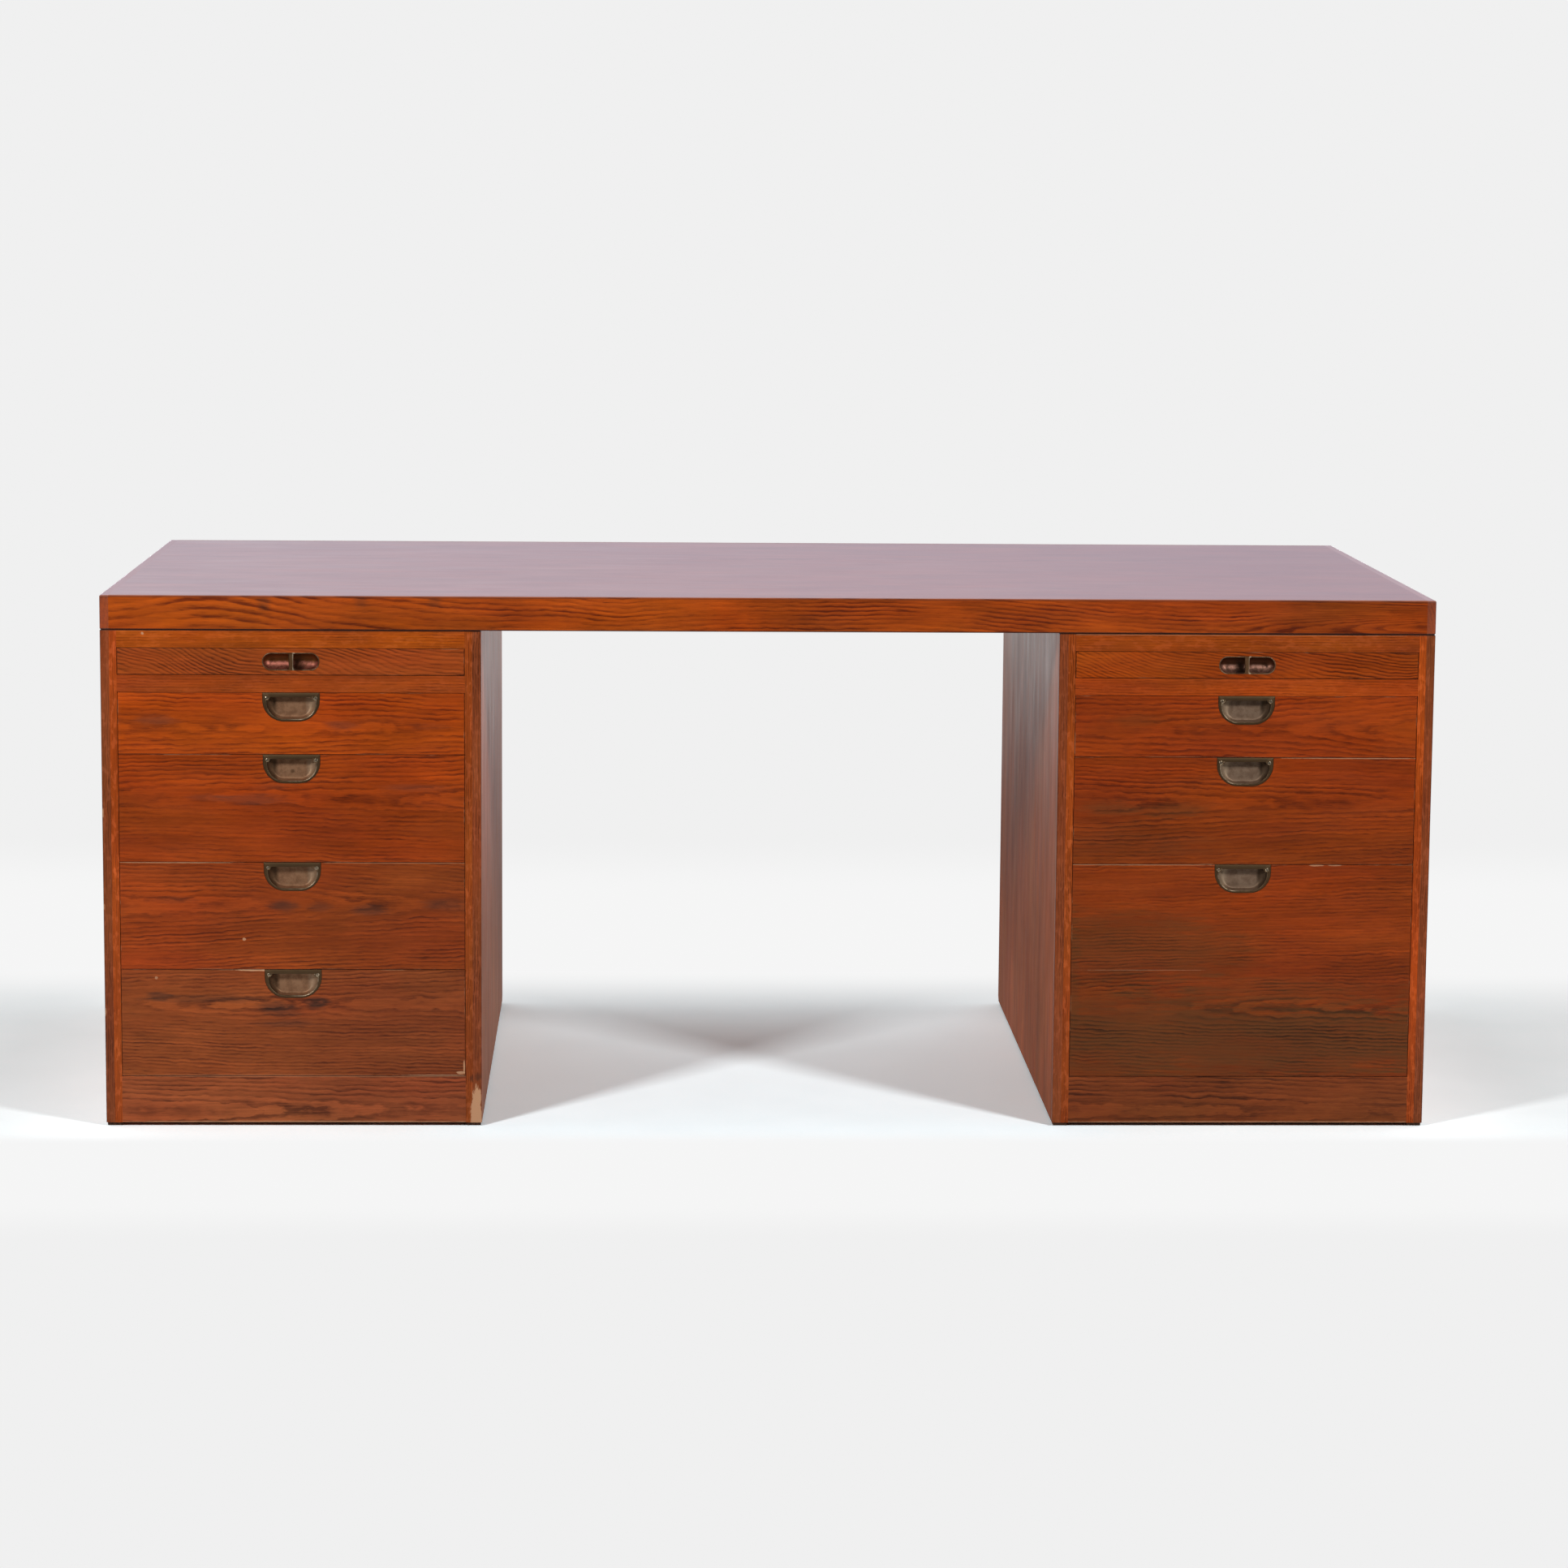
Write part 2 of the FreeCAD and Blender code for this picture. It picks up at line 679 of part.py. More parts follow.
def pull(name, x, z):
    # a plate with a bead round its opening, a dish, and room for the fingertips behind the plate
    body = new_body(name + "_plate", (x, front_y, z))
    plate_back = size.bead_height + size.plate_thickness
    dish_back = plate_back + size.dish_depth
    grip_back = plate_back + size.grip_depth
    plate = new_sketch(body, name + "_plate_outline", "XZ_Plane", zero - plate_back)
    draw_outline(plate, *plate_outline(zero, zero))
    pad(body, plate, size.plate_thickness)
    pan = new_sketch(body, name + "_pan_outline", "XZ_Plane", zero - dish_back - size.dish_wall)
    draw_outline(pan, *grown_dish(size.dish_wall))
    pad(body, pan, size.dish_depth + size.dish_wall)
    back = new_sketch(body, name + "_grip_outline", "XZ_Plane", zero - grip_back - size.dish_wall)
    draw_rectangle(back, *grip_corners(size.dish_wall))
    pad(body, back, size.grip_depth + size.dish_wall)
    opening = dish_outline(size.dish_half_width, size.dish_bottom, size.dish_top, size.dish_corner,
                           size.dish_notch)
    bead = new_sketch(body, name + "_bead_outline", "XZ_Plane", zero - size.bead_height)
    draw_outline(bead, *grown_dish(size.bead_width))
    pad(body, bead, size.bead_height)
    mouth = new_sketch(body, name + "_mouth", "XZ_Plane")
    draw_outline(mouth, *opening)
    pocket(body, mouth, plate_back)
    rim = new_sketch(body, name + "_dish_rim", "XZ_Plane", zero - plate_back)
    draw_outline(rim, *opening)
    floor = new_sketch(body, name + "_dish_floor", "XZ_Plane", zero - dish_back)
    draw_outline(floor, *dish_outline(
        size.dish_half_width - size.dish_floor_inset, size.dish_bottom + size.dish_floor_rise,
        size.dish_top, size.dish_floor_corner, size.dish_floor_notch))
    before = body.Tip
    dish = body.newObject("PartDesign::SubtractiveLoft", name + "_dish")
    dish.Profile = rim
    dish.Sections = [(floor, [""])]
    dish.Ruled = True
    cuts_to_compare.append((before, dish))
    low, high = grip_corners(zero)
    cut_rectangle(body, name + "_grip", "XZ_Plane", zero - plate_back, low, high, size.grip_depth)
    drill(body, name + "_screw_holes", "XZ_Plane", None, pull_screw_places(),
          size.pull_screw_head_radius + size.screw_fit, plate_back)
    head = (size.pull_screw_head_radius, size.plate_thickness)
    shank = (size.pull_screw_radius, size.pull_screw_length)
    screws = []
    for number, (dx, dz) in enumerate(pull_screw_places(), start=1):
        start = (x + dx, front_y + size.bead_height, z + dz)
        screws.append(screw("%s_screw_%d" % (name, number), start, "y", head, shank, True))
    sub_parts.append(group(name, [body] + screws))


def shifted(outline, dx, dz):
    points, arcs = outline
    moved_points = [(px + dx, pz + dz) for px, pz in points]
    moved_arcs = {}
    for number, (radius, (cx, cz), hollow) in arcs.items():
        moved_arcs[number] = (radius, (cx + dx, cz + dz), hollow)
    return moved_points, moved_arcs


def pull_mortise(body, name, dx, dz):
    # the recess for the plate, and the deeper one for the dish, in a drawer front
    plate_back = size.bead_height + size.plate_thickness
    wall = size.dish_wall + size.fit_gap
    plate = new_sketch(body, name + "_plate_recess", "XZ_Plane")
    draw_outline(plate, *shifted(plate_outline(size.fit_gap, size.cut_overrun), dx, dz))
    pocket(body, plate, plate_back)
    pan = new_sketch(body, name + "_pan_recess", "XZ_Plane")
    draw_outline(pan, *shifted(grown_dish(wall), dx, dz))
    pocket(body, pan, plate_back + size.dish_depth + wall)
    low, high = [(px + dx, pz + dz) for px, pz in grip_corners(wall)]
    cut_rectangle(body, name + "_grip_recess", "XZ_Plane", None, low, high,
                  plate_back + size.grip_depth + wall)
    centres = [(px + dx, pz + dz) for px, pz in pull_screw_places()]
    drill(body, name + "_pilots", "XZ_Plane", None, centres, size.pull_screw_radius + size.screw_fit,
          plate_back + size.pull_screw_length + size.screw_fit)


def drawer_side(name, corner, height, tails, is_near):
    # a drawer side with tails into the front, a groove for the bottom and one for the runner
    length = size.drawer_length - size.front_thickness + size.dovetail_length
    pitch = height / tails
    points = [(length, zero), (length, height), (size.dovetail_length, height)]
    for count in reversed(range(tails)):
        centre = pitch * count + pitch / 2
        narrow = pitch * tail_narrow_share
        wide = pitch * tail_wide_share
        points += [(size.dovetail_length, centre + narrow), (zero, centre + wide),
                   (zero, centre - wide), (size.dovetail_length, centre - narrow)]
    points.append((size.dovetail_length, zero))
    body = new_body(name, corner)
    sketch = new_sketch(body, name + "_outline", "YZ_Plane")
    draw_outline(sketch, points)
    pad(body, sketch, size.drawer_side_thickness)
    groove_low = (height - size.runner_height) / 2 - size.runner_slack
    groove_high = groove_low + size.runner_slack + size.runner_height + size.sliding_gap
    outer, inner = (zero, size.drawer_side_thickness) if is_near else (size.drawer_side_thickness, zero)
    groove_end = length + size.cut_overrun
    cut_rectangle(body, name + "_runner_groove", "YZ_Plane", outer,
                  (size.dovetail_length, groove_low), (groove_end, groove_high),
                  size.runner_groove_depth, backwards=is_near)
    groove_start = size.dovetail_length - size.bottom_groove_depth
    cut_rectangle(body, name + "_bottom_groove", "YZ_Plane", inner,
                  (groove_start, size.bottom_rise),
                  (groove_end, size.bottom_rise + size.drawer_bottom_thickness),
                  size.bottom_groove_depth, backwards=not is_near)
    return body


def drawer_front(name, corner, height, pull_x, sides):
    blank = new_body(name + "_blank", corner)
    sketch = new_sketch(blank, name + "_outline", "XZ_Plane")
    draw_rectangle(sketch, (zero, zero), (drawer_width, height))
    pad(blank, sketch, size.front_thickness, backwards=True)
    round_edges(blank, size.front_arris, [("front", end) for end in ("left", "right", "top", "bottom")])
    pull_mortise(blank, name, pull_x - corner[0], height - size.pull_height)
    groove_low = size.box_rise + size.bottom_rise
    cut_rectangle(blank, name + "_bottom_groove", "XZ_Plane", zero - size.front_thickness,
                  (size.drawer_side_thickness - size.bottom_groove_depth, groove_low),
                  (drawer_width - size.drawer_side_thickness + size.bottom_groove_depth,
                   groove_low + size.drawer_bottom_thickness),
                  size.bottom_groove_depth, backwards=True)
    return cut(name, blank, sides)


def add_drawer(side, row, front_low, front_height, tails):
    name = "%s_drawer_%s" % (side, row)
    x = case_x[side] + size.side_thickness + size.front_gap
    side_low = front_low + size.box_rise
    height = box_height(front_height)
    side_y = front_y + size.front_thickness - size.dovetail_length
    far_x = x + drawer_width - size.drawer_side_thickness
    sides = group(name + "_sides", [
        drawer_side(name + "_near_side", (x, side_y, side_low), height, tails, True),
        drawer_side(name + "_far_side", (far_x, side_y, side_low), height, tails, False)])
    pull_x = case_x[side] + (size.pedestal_width - size.pull_width) / 2
    sub_parts.append(drawer_front(name + "_front", (x, front_y, front_low), front_height, pull_x, sides))
    sub_parts.append(sides)
    bottom_low = side_low + size.bottom_rise
    bottom_top = bottom_low + size.drawer_bottom_thickness
    inner_width = drawer_width - size.drawer_side_thickness * 2
    back_corner = (x + size.drawer_side_thickness,
                   front_y + size.drawer_length - size.drawer_back_thickness, bottom_top)
    back_size = (inner_width, size.drawer_back_thickness,
                 height - size.bottom_rise - size.drawer_bottom_thickness)
    sub_parts.append(box_piece(name + "_back", back_corner, back_size))
    bottom_corner = (x + size.drawer_side_thickness - size.bottom_groove_depth,
                     front_y + size.front_thickness - size.bottom_groove_depth, bottom_low)
    bottom_size = (inner_width + size.bottom_groove_depth * 2,
                   size.drawer_length - size.front_thickness + size.bottom_groove_depth,
                   size.drawer_bottom_thickness)
    sub_parts.append(box_piece(name + "_bottom", bottom_corner, bottom_size))
    pull(name + "_pull", pull_x, front_low + front_height - size.pull_height)


def oblong_outline(left, low, grow, shrink):
    # a slot with round ends; grow and shrink move its edge out or in
    radius = size.oblong_height / 2 + grow - shrink
    middle = low + size.oblong_height / 2
    near = left + size.oblong_height / 2
    far = left + size.oblong_width - size.oblong_height / 2
    points = [(near, middle - radius), (far, middle - radius), (far + radius, middle),
              (far, middle + radius), (near, middle + radius), (near - radius, middle)]
    arcs = {1: (radius, (far, middle), False), 2: (radius, (far, middle), False),
            4: (radius, (near, middle), False), 5: (radius, (near, middle), False)}
    return points, arcs


def leaf_pull(name, x, z):
    # an oblong brass cup with an upright bar across its middle
    body = new_body(name, (x, front_y, z))
    shell = new_sketch(body, name + "_shell", "XZ_Plane")
    draw_outline(shell, *oblong_outline(zero, zero, zero, zero))
    pad(body, shell, size.oblong_depth, backwards=True)
    hollow = new_sketch(body, name + "_hollow", "XZ_Plane")
    draw_outline(hollow, *oblong_outline(zero, zero, zero, size.oblong_wall))
    pocket(body, hollow, size.oblong_depth - size.oblong_wall)
    doc.recompute()
    base = body.Tip
    floor_y = size.oblong_depth.number - size.oblong_wall.number
    names = []
    for number, edge in enumerate(base.Shape.Edges, start=1):
        box = edge.BoundBox
        if max(abs(box.YMin - floor_y), abs(box.YMax - floor_y)) < same_place:
            names.append("Edge%d" % number)
    soft = body.newObject("PartDesign::Fillet", name + "_floor_round")
    soft.Base = (base, names)
    bind(soft, "Radius", size.oblong_round)
    bar = new_sketch(body, name + "_bar", "XY_Plane", size.oblong_wall / 2)
    draw_circles(bar, [(size.oblong_width / 2, size.grip_bar_radius + size.grip_bar_setback)],
                 size.grip_bar_radius)
    pad(body, bar, size.oblong_height - size.oblong_wall)
    sub_parts.append(body)


def add_leaf(side):
    name = side + "_leaf"
    x = case_x[side] + size.side_thickness + size.front_gap
    front_low = divider_top + size.front_gap
    front_height = size.leaf_row_height - size.front_gap * 2
    front = new_body(name + "_front", (x, front_y, front_low))
    sketch = new_sketch(front, name + "_front_outline", "XZ_Plane")
    draw_rectangle(sketch, (zero, zero), (drawer_width, front_height))
    pad(front, sketch, size.leaf_front_depth, backwards=True)
    round_edges(front, size.leaf_front_arris,
                [("front", end) for end in ("left", "right", "top", "bottom")])
    pull_x = case_x[side] + (size.pedestal_width - size.oblong_width) / 2
    pull_rise = (front_height - size.oblong_height) / 2
    mortise = new_sketch(front, name + "_mortise", "XZ_Plane")
    draw_outline(mortise, *oblong_outline(pull_x - x, pull_rise, size.fit_gap, zero))
    pocket(front, mortise, size.oblong_depth + size.fit_gap)
    sub_parts.append(front)
    sub_parts.append(box_piece(
        name + "_board", (x, front_y + size.leaf_front_depth, divider_top + size.sliding_gap),
        (drawer_width, size.leaf_length - size.leaf_front_depth, size.leaf_board_thickness)))
    leaf_pull(name + "_pull", pull_x, front_low + pull_rise)


def check_model():
    for before, after in cuts_to_compare:
        if after.Shape.Volume >= before.Shape.Volume:
            raise ValueError("%s cuts nothing" % after.Label)
    for piece in doc.Objects:
        if "Invalid" in piece.State or "Error" in piece.State:
            raise ValueError("%s failed: %s" % (piece.Label, piece.State))
    for piece in sub_parts:
        if piece.Shape.isNull() or not piece.Shape.isValid():
            raise ValueError("%s has no valid shape" % piece.Label)


def write_parts():
    os.makedirs("parts", exist_ok=True)
    for piece in sub_parts:
        piece.Shape.exportStep("parts/%s.step" % piece.Label)
        box = piece.Shape.BoundBox
        count = len(piece.Shape.Solids)
        print("%-28s %3d solids  z %.1f to %.1f" % (piece.Label, count, box.ZMin, box.ZMax))


add_desktop()
add_cases()
for case_side in case_x:
    add_leaf(case_side)
    for drawer_row in drawer_rows(case_side):
        add_drawer(case_side, *drawer_row)
doc.recompute()
check_model()
write_parts()
print("%d sub-parts" % len(sub_parts))
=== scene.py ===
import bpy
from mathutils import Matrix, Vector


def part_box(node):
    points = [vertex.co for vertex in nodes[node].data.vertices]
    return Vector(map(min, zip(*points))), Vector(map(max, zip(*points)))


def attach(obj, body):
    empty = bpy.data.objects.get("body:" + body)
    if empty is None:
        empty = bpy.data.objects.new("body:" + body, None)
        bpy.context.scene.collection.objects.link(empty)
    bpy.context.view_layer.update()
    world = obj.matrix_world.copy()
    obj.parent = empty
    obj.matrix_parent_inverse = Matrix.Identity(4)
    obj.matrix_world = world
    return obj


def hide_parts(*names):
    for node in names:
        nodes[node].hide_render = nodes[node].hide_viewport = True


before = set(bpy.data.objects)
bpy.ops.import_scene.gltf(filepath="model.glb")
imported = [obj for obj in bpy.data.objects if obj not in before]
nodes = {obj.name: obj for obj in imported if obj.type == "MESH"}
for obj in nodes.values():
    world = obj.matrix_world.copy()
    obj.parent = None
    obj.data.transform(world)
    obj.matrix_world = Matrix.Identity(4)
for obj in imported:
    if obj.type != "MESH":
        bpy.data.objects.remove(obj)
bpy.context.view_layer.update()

import math

import bmesh
import bpy
from mathutils import Matrix, Vector

mm = 0.001
scene = bpy.context.scene
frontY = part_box("front_rails")[0].y      # the plane of the fronts
print("frame loaded:", len(nodes), "nodes")

# Lengths are metres unless a note says mm. +X runs along the desk, +Y to its back, +Z up.


# Camera
cameraSetup = {
    "place": (-0.18, -6.251, 1.28),
    "yaw": 1.964,     # degrees to the right of straight ahead
    "pitch": 7.919,   # degrees down
    "roll": 0.44,
    "lens": 99.44,
    "sensor": 36.0,
}


def addCamera(setup):
    data = bpy.data.cameras.new("deskCamera")
    data.lens = setup["lens"]
    data.sensor_width = setup["sensor"]
    camera = bpy.data.objects.new("deskCamera", data)
    scene.collection.objects.link(camera)
    turn = Matrix.Rotation(math.radians(-setup["yaw"]), 4, "Z")
    tilt = Matrix.Rotation(math.radians(90 - setup["pitch"]), 4, "X")
    roll = Matrix.Rotation(math.radians(setup["roll"]), 4, "Z")
    camera.matrix_world = Matrix.Translation(setup["place"]) @ turn @ tilt @ roll
    scene.camera = camera


addCamera(cameraSetup)
scene.view_settings.view_transform = "Standard"
print("camera set")


# Small helpers for node trees
def feed(tree, socket, value):
    # an input takes a plain value or another socket
    if isinstance(value, bpy.types.NodeSocket):
        tree.links.new(value, socket)
    elif socket.type == "RGBA":
        socket.default_value = (*value[:3], 1)
    else:
        socket.default_value = value


def fill(tree, node, inputs):
    for name, value in inputs.items():
        feed(tree, node.inputs[name], value)


def put(tree, kind, inputs=None, **settings):
    node = tree.nodes.new(kind)
    for name, value in settings.items():
        setattr(node, name, value)
    fill(tree, node, inputs or {})
    return node


def calc(tree, operation, *values, clamp=False):
    node = put(tree, "ShaderNodeMath", dict(enumerate(values)), operation=operation, use_clamp=clamp)
    return node.outputs[0]


def times(tree, first, second):
    return calc(tree, "MULTIPLY", first, second)


def blendNumber(tree, factor, first, second):
    node = put(tree, "ShaderNodeMix", {"Factor": factor, "A": first, "B": second}, data_type="FLOAT")
    return node.outputs["Result"]


def blendColour(tree, factor, first, second, mode="MIX"):
    node = put(tree, "ShaderNodeMix", {"Factor": factor}, data_type="RGBA", blend_type=mode)
    for name, value in (("A", first), ("B", second)):
        feed(tree, next(s for s in node.inputs if s.name == name and s.type == "RGBA"), value)
    return next(s for s in node.outputs if s.type == "RGBA")


def combine(tree, x, y, z):
    return put(tree, "ShaderNodeCombineXYZ", {0: x, 1: y, 2: z}).outputs[0]


def split(tree, vector):
    return put(tree, "ShaderNodeSeparateXYZ", {0: vector}).outputs


def distance(tree, across, up):
    ends = combine(tree, across, up, 0.0)
    return put(tree, "ShaderNodeVectorMath", {0: ends}, operation="LENGTH").outputs["Value"]


def scaled(tree, colour, value):
    # makes a colour darker or brighter by a number
    return blendColour(tree, 1.0, colour, combine(tree, value, value, value), "MULTIPLY")


def smooth(tree, value, low, high, first=0.0, last=1.0, kind="SMOOTHSTEP"):
    # carries low to first and high to last, and stops there
    node = put(tree, "ShaderNodeMapRange", {
        "Value": value, "From Min": low, "From Max": high, "To Min": first, "To Max": last,
    }, interpolation_type=kind)
    return node.outputs["Result"]


def straight(tree, value, low, high, first=0.0, last=1.0):
    return smooth(tree, value, low, high, first, last, kind="LINEAR")


def noise(tree, place, scale, shift=0.0, detail=2.0, rough=0.5):
    stretched = put(tree, "ShaderNodeMapping", {
        "Vector": place, "Scale": scale, "Location": (shift, shift * 0.7, shift * 1.3)})
    node = put(tree, "ShaderNodeTexNoise", {
        "Vector": stretched.outputs[0], "Scale": 1.0, "Detail": detail, "Roughness": rough})
    return node.outputs[0]


def newMaterial(name):
    material = bpy.data.materials.new(name)
    material.use_nodes = True
    tree = material.node_tree
    shader = tree.nodes["Principled BSDF"]
    place = put(tree, "ShaderNodeTexCoord").outputs["Object"]
    return material, tree, shader, place


def relief(tree, height, look):
    return put(tree, "ShaderNodeBump", {
        "Strength": look["bump"], "Distance": look["bumpDepth"], "Height": height}).outputs[0]


def cameraRays(tree):
    # the kinds of rays, and 1 where the camera looks straight or through glass
    rays = put(tree, "ShaderNodeLightPath").outputs
    return rays, calc(tree, "MAXIMUM", rays["Is Camera Ray"], rays["Is Transmission Ray"])


# Stage: floor, backdrop and lamps
stageLook = {
    "paper": 0.871,             # the backdrop's pale grey, as a linear value
    "glow": 0.915,              # the slightly paler floor round the desk
    "frontTone": 0.05,          # what the dim room on the viewer's side shines back
    "leftTone": 0.1,            # how much brighter the backdrop is towards the left
    "horizon": (-0.25, 0.3),    # where the dim room turns into the backdrop
    "floorColour": 0.86,
    # the same floor for the camera, without the red that the desk throws on it
    "floorSeen": (1.25, 1.33, 1.35),
    "floorInside": (1.22, 1.36, 1.41),   # in the kneehole
    "floorOutside": (1.31, 1.31, 1.31),
    "inside": (0.42, 0.52),     # where the two end and begin, off the middle
    "outside": (1.1, 1.5),
    "floorLow": (-5.0, -2.7),
    "floorHigh": (5.0, 6.0),
    "mottle": (0.985, 1.015),
    "dimSide": (0.86, 1.12),    # the light falls off beside the desk
    "dimTone": 0.79,
    "fadeBack": (0.34, 0.72),   # where the lit floor turns into the even backdrop
    "fadeFront": (0.465, 0.56),
    "fadeSide": (1.35, 1.9),
    "glowBack": (1.5, 2.2),
    "glowFront": (0.9, 1.1),
    "glossBack": (2.4, 4.6),
    "roomFront": (0.9, 1.7),
    "lampPower": 112.0,
    "lampReach": 4.6,
    "lampSize": (0.55, 0.9),
    "lampTurn": (-41.0, 44.0),  # degrees from straight ahead
    "lampRise": 31.0,
    "lampAim": (0.0, -0.3, 0.35),
}


def addWorld(look):
    # paper behind the desk and a dim room in front of it; the camera sees paper all round
    world = bpy.data.worlds.new("studio")
    scene.world = world
    world.use_nodes = True
    tree = world.node_tree
    tree.nodes.clear()
    parts = split(tree, put(tree, "ShaderNodeTexCoord").outputs["Generated"])
    paper = calc(tree, "MULTIPLY_ADD", parts["X"], -look["leftTone"], look["paper"])
    lit = blendNumber(tree, smooth(tree, parts["Y"], *look["horizon"]), look["frontTone"], paper)
    rays, seen = cameraRays(tree)
    tone = blendNumber(tree, seen, lit, look["paper"])
    back = put(tree, "ShaderNodeBackground", {"Color": (1, 1, 1), "Strength": tone})
    put(tree, "ShaderNodeOutputWorld", {"Surface": back.outputs[0]})


def addFloor(look):
    (x0, y0), (x1, y1) = look["floorLow"], look["floorHigh"]
    mesh = bpy.data.meshes.new("floor")
    mesh.from_pydata([(x0, y0, 0), (x1, y0, 0), (x1, y1, 0), (x0, y1, 0)], [], [(0, 1, 2, 3)])
    floor = bpy.data.objects.new("floor", mesh)
    scene.collection.objects.link(floor)
    material, tree, shader, place = newMaterial("floorPaper")
    rays, seen = cameraRays(tree)
    parts = split(tree, place)
    behind = parts["Y"]
    ahead = times(tree, behind, -1.0)
    aside = calc(tree, "ABSOLUTE", parts["X"])
    tone = straight(tree, noise(tree, place, (9, 9, 9), detail=6.0, rough=0.6), 0.35, 0.65, *look["mottle"])
    tone = times(tree, tone, smooth(tree, aside, *look["dimSide"], 1.0, look["dimTone"]))
    shown = blendColour(tree, smooth(tree, aside, *look["inside"]), look["floorInside"], look["floorSeen"])
    shown = blendColour(tree, smooth(tree, aside, *look["outside"]), shown, look["floorOutside"])
    plain = blendColour(tree, seen, [look["floorColour"]] * 3, shown)
    fill(tree, shader, {"Base Color": scaled(tree, plain, tone), "Roughness": 0.9, "Specular IOR Level": 0.0})
    # away from the desk the floor turns into the backdrop's even tone
    fade = calc(tree, "MAXIMUM", smooth(tree, behind, *look["fadeBack"]), smooth(tree, ahead, *look["fadeFront"]))
    fade = calc(tree, "MAXIMUM", fade, smooth(tree, aside, *look["fadeSide"]))
    outer = calc(tree, "MAXIMUM", smooth(tree, behind, *look["glowBack"]), smooth(tree, ahead, *look["glowFront"]))
    even = straight(tree, outer, 0.0, 1.0, look["glow"], look["paper"])
    # shiny surfaces see the far backdrop behind the desk and the dim room in front of it
    room = smooth(tree, ahead, *look["roomFront"])
    distant = calc(tree, "MAXIMUM", smooth(tree, behind, *look["glossBack"]), room)
    shone = straight(tree, room, 0.0, 1.0, look["paper"], look["frontTone"])
    glossy = rays["Is Glossy Ray"]
    share = calc(tree, "ADD", times(tree, fade, seen), times(tree, distant, glossy), clamp=True)
    strength = calc(tree, "ADD", times(tree, even, seen), times(tree, shone, glossy))
    glow = put(tree, "ShaderNodeEmission", {"Color": (1, 1, 1), "Strength": strength})
    mixed = put(tree, "ShaderNodeMixShader", {0: share, 1: shader.outputs[0], 2: glow.outputs[0]})
    fill(tree, tree.nodes["Material Output"], {"Surface": mixed.outputs[0]})
    mesh.materials.append(material)


def addLamps(look):
    aim = Vector(look["lampAim"])
    rise = math.radians(look["lampRise"])
    for number, degrees in enumerate(look["lampTurn"]):
        turn = math.radians(degrees)
        away = Vector((math.sin(turn) * math.cos(rise), -math.cos(turn) * math.cos(rise), math.sin(rise)))
        data = bpy.data.lights.new("softbox%d" % number, "AREA")
        data.shape = "RECTANGLE"
        data.size, data.size_y = look["lampSize"]
        data.energy = look["lampPower"]
        lamp = bpy.data.objects.new(data.name, data)
        lamp.location = aim + away * look["lampReach"]
        lamp.rotation_euler = (-away).to_track_quat("-Z", "Y").to_euler()
        scene.collection.objects.link(lamp)


addWorld(stageLook)
addFloor(stageLook)
addLamps(stageLook)
print("stage set")


# Oak
# each noise of the wood: turns per metre along and across the grain, seed, detail, roughness
grainNoises = {
    "ripple": (17, 26, 3, 2.0, 0.6),
    "wave": (44, 60, 4, 1.0, 0.5),
    "jag": (62, 250, 5, 2.0, 0.6),
    "broken": (26, 260, 7, 2.0, 0.6),
    "local": (7, 20, 9, 2.0, 0.5),
    "pores": (60, 1050, 11, 2.0, 0.6),
    "flecks": (75, 160, 13, 2.5, 0.6),
    "fibre": (13, 330, 15, 3.0, 0.7),
    "patchy": (5, 19, 17, 4.0, 0.65),
    "redness": (5, 15, 21, 3.0, 0.5),
    "streaks": (15, 150, 23, 4.0, 0.75),
    "stains": (9, 50, 25, 3.0, 0.65),
    "roughness": (7, 30, 29, 4.0, 0.65),
    "edgeWear": (11, 40, 31, 4.0, 0.75),
    "bump": (30, 90, 37, 3.0, 0.5),
    "chips": (90, 260, 0, 3.0, 0.7),
}
# how dark a growth ring is on the way to the next one
ringRamp = ((0.07, 0.5), (0.16, 1.0), (0.3, 0.92), (0.52, 0.42), (0.74, 0.12), (0.94, 0.05))
ringEnds = (0.1, 0.1, 0.1, 1)

